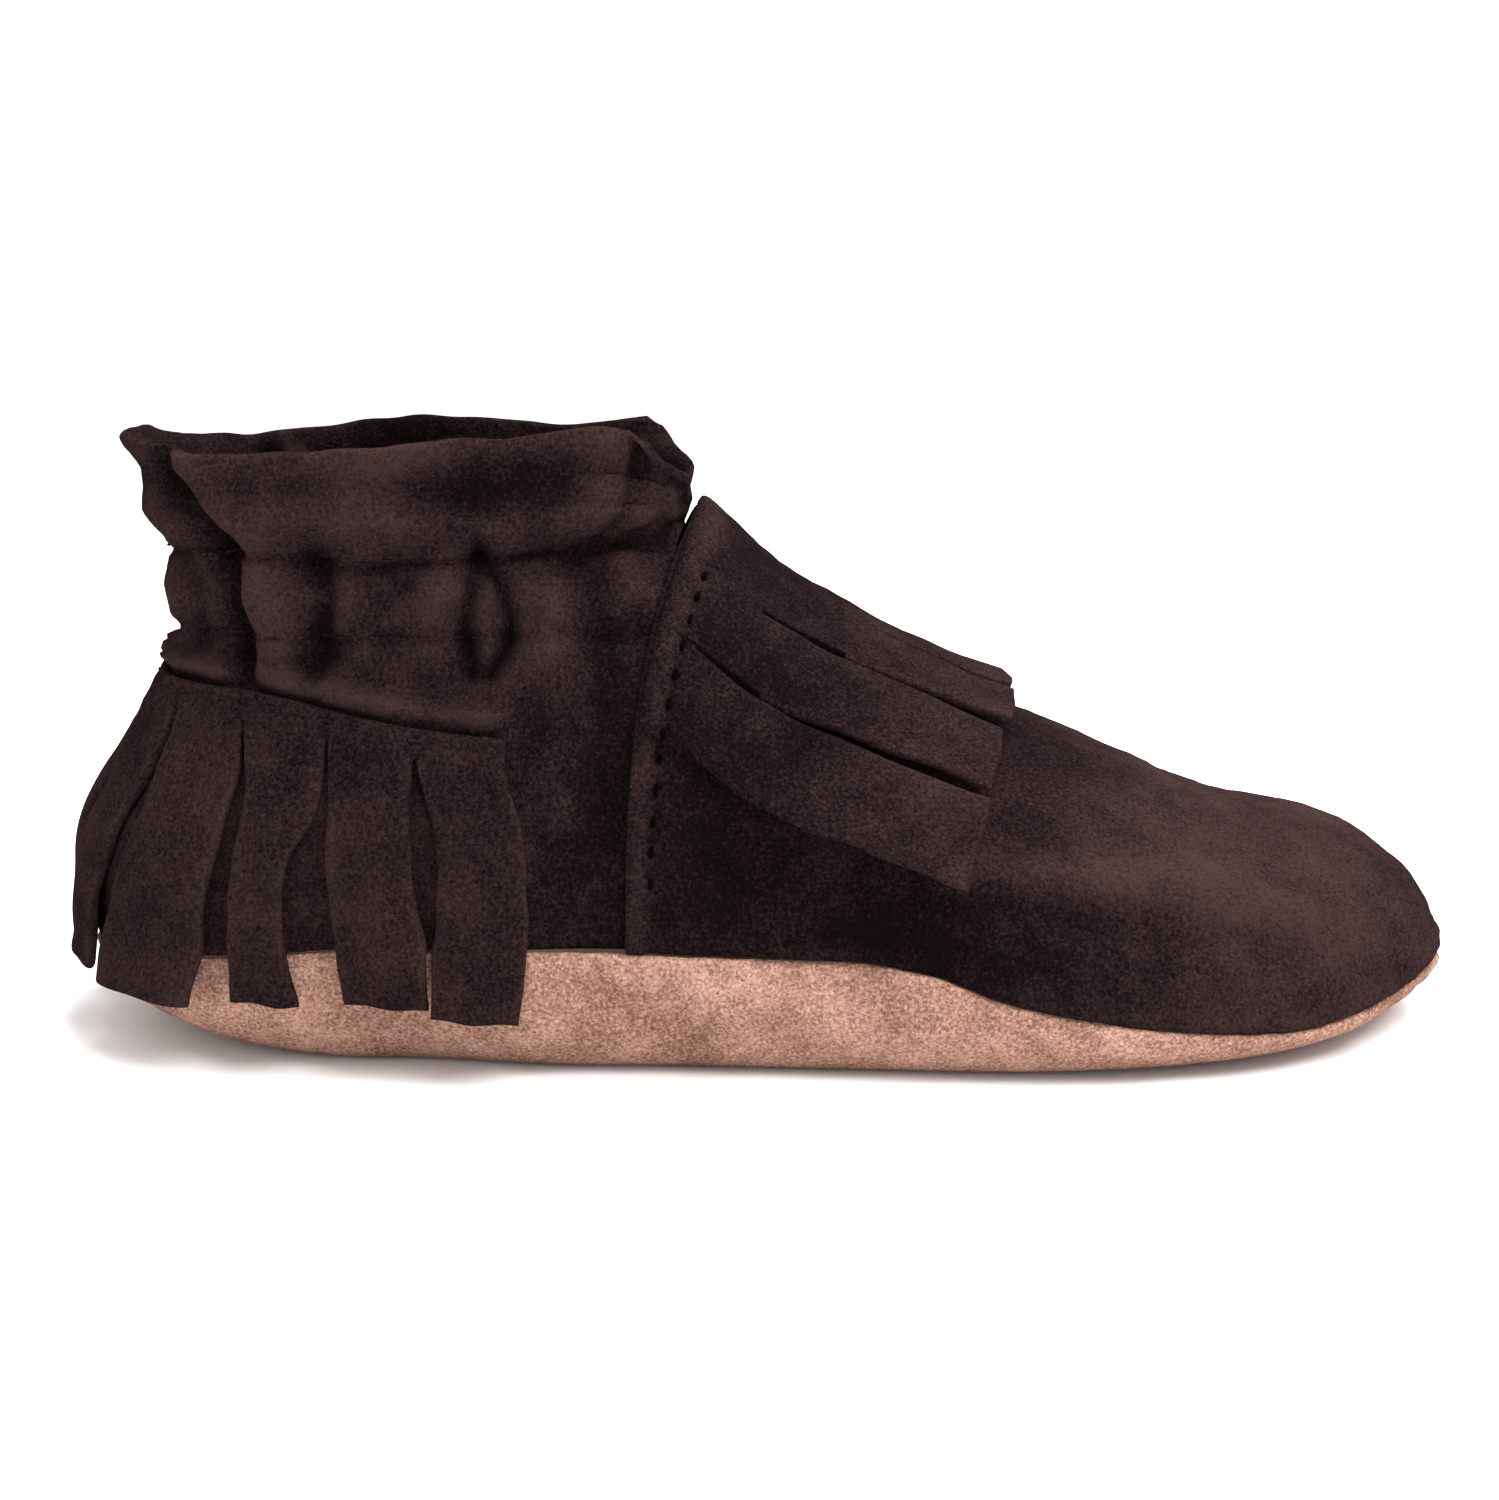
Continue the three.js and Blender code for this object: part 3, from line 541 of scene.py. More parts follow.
PATCHES, MOTTLE, FIBRES = 95, 380, 3400  # scales of the nap's noises, per metre
ALL_DEEP, ALL_BRUSHED = 1.6, 3.2  # sums of shade and noises that give either colour alone


def build_nap():
    """Brushed patches about 10 mm wide, mottling 3 mm wide, fibres 0.3 mm apart; the
    mesh's painted shade darkens creases and its painted highlight lightens ridges."""
    colour, number = "NodeSocketColor", "NodeSocketFloat"
    group, start, end = new_group(
        "suede nap",
        [("Deep", colour, (0.02, 0.013, 0.012, 1)), ("Brushed", colour, (0.06, 0.04, 0.035, 1)),
         ("Scale", number, 1.0), ("Shade", number, 0.5)],
        [("Color", colour, None), ("Height", number, None)],
    )
    where = node(group, "ShaderNodeTexCoord").outputs["Object"]
    sized = node(group, "ShaderNodeVectorMath", operation="SCALE")
    group.links.new(where, sized.inputs[0])
    group.links.new(start.outputs["Scale"], sized.inputs["Scale"])
    place = sized.outputs[0]
    patches = noise(group, place, PATCHES, 2.0, 0.5)
    mottle = noise(group, place, MOTTLE, 3.0, 0.3)
    fibres = noise(group, place, FIBRES, 3.0, 0.6)
    light = add_up(group, start.outputs["Shade"], patches, 0.75)
    light = add_up(group, light, mottle, 0.6)
    light = add_up(group, light, fibres, 2.1)
    share = ramp(group, light, ALL_DEEP, ALL_BRUSHED)
    base = tint(group, share, start.outputs["Deep"], start.outputs["Brushed"])
    height = add_up(group, fibres, mottle, 0.7)
    group.links.new(base, end.inputs["Color"])
    group.links.new(height, end.inputs["Height"])
    return group


nap = build_nap()
print("suede nap group:", len(nap.nodes), "nodes")

# %% [markdown]
# ## The finishes
# Dark brown suede for the upper and the fringes, pale tan split suede for the sole, a
# brushed cotton lining, foam, woven elastic and waxed thread.


# %% Materials
def leather(name, deep, brushed, scale=1.0, relief=0.5, sheen=0.015, glow=(0.6, 0.4, 0.38)):
    """A suede: the nap group's colour and height, a rough surface and a soft sheen."""
    made = bpy.data.materials.new(name)
    made.use_nodes = True
    tree = made.node_tree
    shader = tree.nodes["Principled BSDF"]
    group = node(tree, "ShaderNodeGroup")
    group.node_tree = nap
    group.inputs["Deep"].default_value = (*deep, 1)
    group.inputs["Brushed"].default_value = (*brushed, 1)
    group.inputs["Scale"].default_value = scale
    # The shade attribute brings each piece's painted shade and painted highlight, with some random
    # tone, into the colour.
    tone_and_painted_light = node(tree, "ShaderNodeAttribute", attribute_name="shade")
    tree.links.new(tone_and_painted_light.outputs["Fac"], group.inputs["Shade"])
    bump = node(tree, "ShaderNodeBump", Strength=relief, Distance=0.0003)
    tree.links.new(group.outputs["Height"], bump.inputs["Height"])
    tree.links.new(bump.outputs["Normal"], shader.inputs["Normal"])
    tree.links.new(group.outputs["Color"], shader.inputs["Base Color"])
    shader.inputs["Roughness"].default_value = 1.0
    shader.inputs["Specular IOR Level"].default_value = 0.0
    shader.inputs["Sheen Weight"].default_value = sheen
    shader.inputs["Sheen Roughness"].default_value = 0.5
    shader.inputs["Sheen Tint"].default_value = (*glow, 1)
    return made


brown_suede = leather("brown suede", (0.0036, 0.0023, 0.0026), (0.034, 0.0185, 0.0182), 1.0, 0.75)
# A darker copy of the brown suede: painted shade for the casing inside the ankle.
shaded_inner_suede = leather("shaded inner suede", (0.004, 0.0022, 0.0024), (0.022, 0.012, 0.012), 1.1, 0.7)
tan_suede = leather("tan suede", (0.13, 0.06, 0.04), (0.62, 0.37, 0.28), 1.1, 1.0)
lining_cotton = leather("lining cotton", (0.14, 0.09, 0.07), (0.3, 0.21, 0.16), 2.0, 0.4)
foam_sheet = leather("foam sheet", (0.5, 0.44, 0.36), (0.68, 0.63, 0.55), 2.5, 0.5, 0.0)
elastic_tape = leather("elastic tape", (0.01, 0.009, 0.009), (0.03, 0.028, 0.028), 3.0, 0.6)
# Near-black: the thread's own dark colour, which also stands in for the shade in its needle holes.
waxed_thread = leather("waxed thread", (0.0008, 0.0005, 0.0005), (0.004, 0.0022, 0.0022), 3.0, 0.3)
print("finishes:", len(bpy.data.materials))

# %% [markdown]
# ## The camera
# It comes before the pieces, so that each can be looked at as it is made. The lens is a
# little longer than normal and looks slightly down on the shoe's right side.

# %% The camera
EYE = (-0.000515, -0.2, 0.063558)
LENS = 52.52
SENSOR = 36.0
LOOK_DOWN = 11.24
camera_data = bpy.data.cameras.new("camera")
camera_data.lens = LENS
camera_data.sensor_width = SENSOR
camera_data.clip_start = 0.01
camera = bpy.data.objects.new("camera", camera_data)
camera.location = EYE
camera.rotation_euler = (np.radians(90 - LOOK_DOWN), 0, 0)
bpy.context.scene.collection.objects.link(camera)
bpy.context.scene.camera = camera
print("camera", LENS, "mm at", EYE)

# %% [markdown]
# ## The sole
# One piece of pale split suede, flat under the foot and turned up all round to the seam. It
# is a disc: rings run out from its middle, first flat, then up a quarter circle. A lathe
# can't make it, because the outline isn't round, so each ring is the outline scaled down.
# It puckers a little where it is eased onto the upper.


# %% Sole grids
def around_outline(columns, inset):
    """The whole outline as columns points, starting and ending at the toe."""
    turn = np.arange(columns) / columns
    along = 1 - np.abs(1 - 2 * turn)
    return outline(along, np.where(turn < 0.5, -1, 1), inset)


def cup(columns, spread, inset, lift):
    """The sole's cup: the outline scaled by spread; flat to plan.flat of it, then rising to
    the seam as 1 - sqrt(1 - c^2), where c is the share of the rest."""
    edge_x, edge_y = around_outline(columns, inset)
    spread = spread[:, None]
    top = seam_z(around_outline(columns, 0)[0]) - GAP / 4
    climb = np.maximum(spread - plan.flat, 0) / (1 - plan.flat)
    rise = 1 - np.sqrt(np.maximum(1 - climb**2, 0))
    height = lift + (top - min(lift, SOLE_SUEDE)) * rise
    return np.stack([edge_x * spread, edge_y * spread, height], -1)


def rings(flat_rings, wall_rings, end=1.0):
    """Scales of the rings: even over the flat, then even in height up the wall, with the last
    few crowded at the edge."""
    flat = np.linspace(0, plan.flat, flat_rings, endpoint=False)
    steep = np.linspace(0, np.pi / 2, wall_rings)
    steep = np.concatenate([steep[:-1], np.pi / 2 - np.array([0.045, 0.02, 0.008, 0])])
    wall = plan.flat + (1 - plan.flat) * np.sin(np.sort(steep))
    return np.concatenate([flat, wall[wall <= end + 1e-9]])


def outward(grid):
    """Normals of a grid of rings, from the differences along and across it."""
    along = np.gradient(grid, axis=0)
    across = np.roll(grid, -1, 1) - np.roll(grid, 1, 1)
    n = np.cross(along, across)
    size = np.linalg.norm(n, axis=-1, keepdims=True)
    n = n / np.maximum(size, 1e-9)
    n[0] = np.array([0, 0, np.sign(n[1, :, 2].sum())])
    return n


def rounded(front, back, below_top):
    """Draws two skins together near an edge by the share of thickness left there."""
    centre = (front + back) / 2
    full = np.interp(below_top, EDGE_AT, EDGE_FULL)[..., None]
    return centre + (front - centre) * full, centre + (back - centre) * full


SOLE_COLUMNS = 420
spread = rings(16, 44)
under = cup(SOLE_COLUMNS, spread, 0, 0)
over = cup(SOLE_COLUMNS, spread, SOLE_SUEDE, SOLE_SUEDE)
top_edge = under[-1:, :, 2]
wall_share = ease(under[..., 2], 0.8, 5)
pucker = np.sin(outline_run[-1] * 2 * np.pi * np.arange(SOLE_COLUMNS) / SOLE_COLUMNS / 1.3)
relief = 0.22 * ripples(under, 9, 11) * wall_share + 0.07 * ripples(under, 2.6, 12) * wall_share
relief += 0.1 * pucker * ease(under[..., 2], top_edge - 3, top_edge)
push = outward(under) * relief[..., None] * np.sign(-outward(under)[:1, :1, 2:])
under, over = under + push * 0.8, over + push
under, over = rounded(under, over, top_edge - np.minimum(under[..., 2], top_edge))
# The sole's colour takes painted shade in its puckers and painted highlight on their ridges, from
# the relief that shapes them.
piece("sole_suede", *closed_disc(shaded(over, relief), shaded(under, relief)), tan_suede,
      "shoe", "tan_suede", ["outsole"])

# %% [markdown]
# ## The footbed
# A foam sheet lies in the sole and a brushed cotton lining lies on it, both cut a little
# smaller than the outline. They dish slightly where heel and ball press.


# %% Foam and lining
def bed(columns, share, lift, thickness, dish, seed):
    """Both skins of a sheet that lies in the cup, dished by bell shapes at heel and ball."""
    scale = np.linspace(0, 1, 46) ** 0.8 * share
    low = cup(columns, scale, SOLE_SUEDE + 2 * GAP, lift)
    high = cup(columns, scale, SOLE_SUEDE + 2 * GAP, lift + thickness)
    at_heel = np.exp(-((high[..., 0] + 38) ** 2 + high[..., 1] ** 2) / 150)
    at_ball = np.exp(-((high[..., 0] - 20) ** 2 + high[..., 1] ** 2) / 250)
    sink = dish * (at_heel + at_ball) + 0.05 * ripples(high, 7, seed)
    high[..., 2] -= sink
    low[..., 2] -= sink * (0 if lift < 2 else 1)
    edge = np.interp((1 - scale / share) * 25, EDGE_AT, EDGE_FULL)[:, None] + 0 * high[..., 2]
    centre = (high + low) / 2
    return centre + (high - centre) * edge[..., None], centre + (low - centre) * edge[..., None]


foam_lift = SOLE_SUEDE + GAP
lining_lift = foam_lift + footbed.foam + GAP
foam_skins = bed(200, footbed.foam_share, foam_lift, footbed.foam, 0.35, 21)
foam = piece("insole_foam_sheet", *closed_disc(*foam_skins), foam_sheet, "shoe", "foam",
             ["insole_foam"])
lining_skins = bed(200, footbed.lining_share, lining_lift, footbed.lining, 0.35, 21)
lining = piece("insole_lining_cloth", *closed_disc(*lining_skins), lining_cotton, "shoe",
               "lining", ["insole_lining"])

# %% [markdown]
# ## The vamp
# The vamp caps the toe and instep and ends at a turned-under rear edge, which stands a
# little proud and is stitched down 2 mm in. Its nap lies in long soft creases that run
# toward the toe. Like the sole it is a disc of rings, spread from a point on the instep
# to the rear edge and the sole seam.


# %% The vamp
def vamp_border(edge_steps, outline_steps):
    """The border in plan: along the rear edge from its foot over the ridge, and round the
    outline. Equal steps of the arch's angle on the rear edge, equal lengths on the outline."""
    power = 2 / form.roundness
    angle = (np.pi / 2) * (1 - np.linspace(0, 1, edge_steps + 1))
    low = seam_z(seam.foot_x)
    x = seam_x(mix(low, ridge_z(seam.throat_x), np.sin(angle) ** power))
    rear = np.stack([x, half_width(x) * np.maximum(np.cos(angle), 0) ** power], -1)
    share = mix(share_at(seam.foot_x), 1, np.arange(1, outline_steps + 1) / outline_steps)
    front = np.stack([np.interp(share, outline_share, outline_x),
                      np.interp(share, outline_share, outline_y)], -1)
    half = np.concatenate([rear, front])
    return np.concatenate([half * [1, -1], half[1:-1][::-1]])


border = vamp_border(90, 130)
VAMP_MIDDLE_X = plan.ball


def vamp_skin(ring_share, inset, lift):
    """Points at ring shares between the instep's middle and the border, inset mm inside the
    form, with the arch's height over each."""
    out = np.sin(ring_share * np.pi / 2)[:, None]
    x = mix(VAMP_MIDDLE_X, border[None, :, 0], out)
    y = border[None, :, 1] * out
    width = half_width(x)
    share = np.clip(np.abs(y) / np.maximum(width, 1e-6), 0, 1)
    low = seam_z(x) + lift
    top = mix(low, crest_z(x) - inset, arch(share, form.roundness))
    slim = np.where(width > 1e-6, np.maximum(width - inset, 0) / np.maximum(width, 1e-6), 0)
    toward_toe = np.maximum(x - form.nose_start, 0) / (plan.toe - form.nose_start)
    x = x - inset * toward_toe**2
    return np.stack([x, middle(x) + y * slim, np.maximum(top, low)], -1)


ring_share = np.concatenate([np.linspace(0, 0.955, 96), [0.968, 0.98, 0.989, 0.996, 1]])
outer = vamp_skin(ring_share, 0, GAP / 4)
inner = vamp_skin(ring_share, SUEDE, GAP / 4)
out_of = outward(outer)
out_of *= np.sign((out_of * (outer - [20, 0, 5])).sum(-1, keepdims=True))
X, Y, Z = outer[..., 0], outer[..., 1], outer[..., 2]
from_edge = X - seam_x(Z)
right = ease(-Y, -2, 4)
relief = 0.17 * ripples(outer, 17, 31) + 0.08 * ripples(outer, 5, 32)
relief *= ease(from_edge, 0, 4) * ease(Z - seam_z(X), 0.2, 3)
long_crease = [(16, 18.7), (24.4, 17.4), (38.2, 15.2), (46.4, 12.1)]
relief += fold(X, Z, long_crease, 1.6, 0.8) * right
relief += fold(X, Z, [(x, z - 2.6) for x, z in long_crease], 1.6, -0.4) * right
relief += fold(X, Z, [(-4, 20), (8, 13.5), (24, 10.5)], 1.8, -0.35) * right
relief += fold(X, Z, [(14.4, 9.6), (16.2, 12.2)], 0.7, -0.5) * right
left_crease = [(12, 20), (22, 18.6), (36, 14.8), (48, 11)]
relief += fold(X, Z, left_crease, 1.7, 0.45) * (1 - right)
relief += fold(X, Z, [(2, 15), (16, 11), (30, 9.5)], 1.6, -0.35) * (1 - right)
relief += 0.04 * ripples(outer, 1.6, 33, 20)
relief += 0.14 * bell(from_edge, 0.9, 0.9)
relief -= 0.34 * bell(from_edge, seam.stitch_in, 0.35)
above_seam = Z - seam_z(X)
along_seam = np.sin(np.arctan2(Y, X - 20) * 74)
relief += 0.09 * along_seam * bell(above_seam, 0, 1.4)
relief += 0.3 * bell(above_seam, 0.9, 0.8) * ease(from_edge, 0, 4)
push = out_of * relief[..., None]
border_gap = np.linalg.norm(outer - outer[-1:], axis=-1)
outer, inner = rounded(outer + push, inner + push, border_gap)
# Painted light in the vamp's colour: lighter toward the toe and up its sides, darker near the flap
# and rear edge, a painted highlight on the rear edge's ridge and along the long crease.
vamp_painted_light = 1.7 * ease(X, 16, 42) + 0.4 * ease(Z - seam_z(X), 2, 12) - 1.2
vamp_painted_light += 1.0 * bell(from_edge, 1.2, 1.3) * ease(Z, 8, 14)
vamp_painted_light += fold(X, Z, [(x, z + 0.6) for x, z in long_crease], 2.2, 0.7) * right
# The outer skin also takes painted shade in the creases and painted highlight on the ridges of its
# relief.
piece("vamp_suede", *closed_disc(shaded(outer, relief + vamp_painted_light), shaded(inner, relief)),
      brown_suede, "shoe", "brown_suede", ["vamp"])

# %% [markdown]
# ## The quarter
# The quarter wraps the heel, narrows at the ankle where the elastic draws it in, and
# flares into a loose cuff. Elastic under suede makes pleats that die out above and below
# the casing, and the two stitch rows sink into the leather. The few large folds are put
# where such a shoe creases: beside the ankle bone, at the back and at the cuff's corners.


# %% The quarter's relief
def fringe_top(around):
    """Height of the heel fringe's top edge, which falls smoothly towards the vamp."""
    drop = ease(np.abs(around), 0.5 * heel.front_end, 1.05 * heel.front_end)
    return heel.top_z - heel.front_drop * drop


def gathers(around, z):
    """Uneven pleats between the casing's rows: sines of uneven pitch whose height follows
    a bell over the casing and reaches a little past it."""
    pitch = 30 + 6 * np.sin(around * 5.1 + 0.7) + 4 * np.sin(around * 11.3 + 2)
    pleat = np.sin(around * pitch + 0.8 * np.sin(z * 0.55))
    pleat += 0.5 * np.sin(around * pitch * 1.7 + 1.3 + 0.1 * z)
    centre = (casing.low + casing.high) / 2
    return 0.32 * pleat * bell(z, centre, 5.5)


def quarter_relief(p, around):
    """All folds of the quarter at points p, in mm outward."""
    x, z = p[..., 0], p[..., 2]
    on_right = ease(-p[..., 1], -2, 5)
    near_edge = ease(1 - np.abs(around), 0.0, 0.08)
    total = gathers(around, z) * near_edge
    upper = casing.high - casing.row_in + 0.5 * np.sin(around * 13)
    lower = casing.low + casing.row_in
    total -= 0.75 * bell(z, upper, 0.5) * near_edge
    total -= 0.45 * bell(z, lower, 0.6) * near_edge
    total += 0.6 * bell(z, ankle.waist_z, 1.9) * near_edge
    total += 1.25 * bell(z, upper + 3.4, 2.1) * near_edge
    total += 0.5 * ripples(p, 13, 41) * ease(z, 43, 50) * near_edge
    total += 0.22 * ripples(p, 9, 42) * ease(z, 12, 20) + 0.07 * ripples(p, 3.4, 43)
    total += 0.04 * ripples(p, 1.6, 45, 20)
    for line, width, height in right_folds:
        total += fold(x, z, line, width, height) * on_right * ease(1 - np.abs(around), 0, 0.02)
    for line, width, height in left_folds:
        total += fold(x, z, line, width, height) * (1 - on_right)
    under_lip = ease(heel.front_end + 0.03 - np.abs(around), 0, 0.08)
    above = z - fringe_top(around)
    uneven = 1.7 + 0.4 * np.sin(around * 21 + 1) + 0.2 * np.sin(around * 47)
    total += uneven * bell(above, 1.5, 0.95) * under_lip
    return total


right_folds = [
    ([(-22.9, 45), (-24.4, 38.6), (-23.8, 34)], 0.7, -1.5),
    ([(-22.4, 43.6), (-20.5, 38.6), (-20.7, 36.6), (-22.2, 34)], 0.6, -1.5),
    ([(-22.5, 41), (-22.4, 36)], 0.9, 0.7),
    ([(-26.6, 42.5), (-27.4, 36)], 1.6, 0.8),
    ([(-18.2, 43), (-18, 36)], 1.8, 0.5),
    ([(-36.4, 44), (-35.2, 41), (-36.2, 38), (-37, 34)], 1.1, -1.35),
    ([(-33.4, 43.4), (-33.6, 36)], 1.4, 0.5),
    ([(-38.9, 43.4), (-39.2, 36)], 1.1, 0.6),
    ([(-29.2, 41.8), (-35.2, 35.6)], 0.8, -0.7),
    ([(-50, 51.6), (-44.6, 45.1), (-43.9, 42.5), (-43.4, 37.1), (-42.9, 34)], 1.2, -2.1),
    ([(-46.5, 51.6), (-41.5, 45.4), (-40.9, 41.5), (-40.5, 35.5)], 1.4, 1.2),
    ([(-52, 45.6), (-47.5, 41.5), (-47.6, 36)], 1.1, -0.9),
    ([(-50, 44.2), (-49.6, 38)], 1.2, 0.7),
    ([(-9.4, 53.2), (-11.4, 49.2), (-13.6, 45.2)], 0.8, -1.25),
    ([(-13.6, 52.6), (-14.8, 48.6)], 1.9, 0.9),
    ([(-8.2, 51), (-9, 46)], 0.9, 0.6),
    ([(-28, 49.6), (-22, 48.4), (-17, 49.2)], 1.6, -0.6),
    ([(-16, 43.2), (-12, 44.3), (-8, 43.9)], 0.7, -0.7),
    ([(-19, 30.5), (-16, 27.5), (-13, 24)], 1.6, -0.6),
    ([(-17.6, 20.6), (-11.2, 20.2)], 0.8, -0.35),
    ([(-17.2, 17.4), (-12.2, 17.8)], 0.8, -0.3),
    ([(-14.4, 42), (-12.6, 34), (-12.8, 20)], 1.5, -0.6),
    ([(-17.4, 40), (-16.4, 30), (-16.6, 22)], 1.5, 0.35),
]
left_folds = [
    ([(-19.5, 44.4), (-20.6, 38), (-19.4, 34)], 0.8, -1.3),
    ([(-31, 47), (-32.2, 40), (-31.2, 34)], 1.0, -1.3),
    ([(-28, 43), (-26.6, 36)], 1.5, 0.6),
    ([(-47.5, 51), (-43, 44.6), (-42.4, 36), (-42, 34)], 1.3, -1.7),
    ([(-44.6, 51), (-40.4, 44.6), (-39.8, 36)], 1.5, 0.9),
    ([(-11, 52.8), (-12.6, 48), (-14.6, 45.4)], 0.9, -1.1),
]
print("folds on the quarter:", len(right_folds) + len(left_folds))

# %% The quarter
around_stops, around_full = stops(330, 150)
up_stops, up_full = stops(118, 44)
U, A = np.meshgrid(up_stops, around_stops * 2 - 1, indexing="ij")
foot_at = quarter(seam_z(seam.foot_x), A[0])[:, 0]
ragged = 0.1 * ripples(np.stack([A * 75, 0 * A, 0 * A], -1), 6, 44)
foot = seam_z(foot_at) + GAP / 4
height = mix(foot[None, :], rim_z(A) + ragged, U)
surface = quarter(height, A)
face = normal(quarter, height, A)
thick = SUEDE / 2 * (1 + 0.6 * ease(U, 0.93, 0.98)) * up_full[:, None] * around_full[None, :]
relief = quarter_relief(surface, A) * ease(U, 0, 0.05)
# Painted light in the quarter's colour: painted shade at the lower front and on the cuff above the
# upper stitch row, a painted highlight along the rim.
quarter_painted_light = -0.9 * ease(surface[..., 0], -24, -14) * (1 - ease(surface[..., 2], 30, 44))
quarter_painted_light += 1.2 * ease(U, 0.93, 0.99) - 0.5 * ease(surface[..., 2], 43, 47)
# Both skins take painted shade in the folds and painted highlight on their ridges; the inner skin
# is darker still, painted shade inside the shoe.
both = skins(surface, face, relief, thick, relief + quarter_painted_light, relief - 0.6)
piece("quarter_suede", *closed_sheet(*both), brown_suede, "shoe", "brown_suede", ["quarter"])

# %% [markdown]
# ## The elastic and its casing
# Inside the ankle a strip of suede is stitched over a tape of woven elastic, and the tape's
# pull makes the pleats. Both follow the quarter's own surface and folds at a fixed
# distance inside it, so they pleat with it.


# %% Elastic and casing
def ankle_strip(low, high, inward, thickness):
    """Front and back of a strip between two heights, its middle inward mm inside the
    quarter's middle surface and pleated with it."""
    a_stops, a_full = stops(240, 130)
    u_stops, u_full = stops(14, high - low)
    u, a = np.meshgrid(u_stops, (a_stops * 2 - 1) * casing.end, indexing="ij")
    z = mix(low, high, u)
    p, n = quarter(z, a), normal(quarter, z, a)
    fold_in = np.minimum(quarter_relief(p, a), 0.3)
    half = thickness / 2 * u_full[:, None] * a_full[None, :]
    return (p + n * (fold_in - inward + half)[..., None],
            p + n * (fold_in - inward - half)[..., None])


elastic_in = SUEDE / 2 + 1.5 * GAP + elastic.thickness / 2
middle_z = (casing.low + casing.high) / 2
tape = ankle_strip(middle_z - elastic.width / 2, middle_z + elastic.width / 2, elastic_in,
                   elastic.thickness)
piece("elastic_tape", *closed_sheet(*tape), elastic_tape, "shoe", "elastic", ["ankle_elastic"])
casing_in = elastic_in + elastic.thickness / 2 + GAP + casing.thickness / 2
cover = ankle_strip(casing.low, casing.high, casing_in, casing.thickness)
piece("casing_suede", *closed_sheet(*cover), shaded_inner_suede, "shoe", "brown_suede",
      ["elastic_casing"])

# %% [markdown]
# ## The heel fringe
# A band is sewn round the heel and cut into twelve strips that hang over the sole. Each
# strip is its own piece, which meets the band at its root. Strips never hang quite
# straight, so each has its own sway and curl.


# %% Fringe helpers
def further(z, around, length):
    """The place that lies a length further round the quarter, in four short steps."""
    place = around
    for _ in range(4):
        ahead, behind = quarter(z, place + 1e-3), quarter(z, place - 1e-3)
        place = place + (length / 4) * 2e-3 / np.linalg.norm(ahead - behind, axis=-1)
    return place


def root_z(around):
    """Height of the strips' roots."""
    return fringe_top(around) - heel.band_height - GAP


def hung(name, both, body, root):
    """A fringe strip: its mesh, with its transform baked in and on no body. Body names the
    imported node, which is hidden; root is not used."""
    made = piece(name, *closed_sheet(*both), brown_suede, None, "brown_suede", [body])
    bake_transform(made)
    return made


heel_out = GAP + SUEDE
root_around = np.linspace(0, heel.front_end, 101)
root_line = quarter(root_z(root_around), root_around)
root_line = root_line + normal(quarter, root_z(root_around), root_around) * (GAP + SUEDE / 2)
root_run = np.concatenate([[0], np.cumsum(np.linalg.norm(np.diff(root_line, axis=0), axis=-1))])
heel_pitch = root_run[-1] / heel.per_side


def around_at(length):
    """The place round the heel at a length along the root line."""
    return np.sign(length) * np.interp(np.abs(length), root_run, root_around)


def fringe_relief(p):
    """The little that the fringe takes up from the folds of the quarter under it."""
    return 0.12 * ripples(p, 8, 51) + 0.05 * ripples(p, 2.8, 52) + 0.03 * ripples(p, 1.6, 53)


# %% The heel fringe's band
a_stops, a_full = stops(260, 105)
u_stops, u_full = stops(10, heel.band_height, first=False)
u, a = np.meshgrid(u_stops, (a_stops * 2 - 1) * heel.front_end, indexing="ij")
z = fringe_top(a) - (heel.band_height + GAP) * (1 - u)
p, n = quarter(z, a), normal(quarter, z, a)
row = 0.15 * bell(fringe_top(a) - z, heel.row_in, 0.4)
run = np.interp(np.abs(a), root_around, root_run) / heel_pitch
between = (run - np.round(run)) * heel_pitch
slit = bell(between, 0, 0.3) * (np.abs(a) < 0.98 * heel.front_end)
lift = fringe_relief(p) - row - 0.4 * slit * (1 - 0.7 * u)
half = SUEDE / 2 * u_full[:, None] * a_full[None, :]
# The band's colour follows its lift: painted shade in the sunk stitch line, at the slits and in
# the hollows of its waves, painted highlight on their tops, a little darker on the outer face.
both = skins(p, n, heel_out + lift, half, lift - 0.1, lift)
piece("heel_band_suede", *closed_sheet(*both), brown_suede, "shoe", "brown_suede",
      ["heel_fringe_band"])

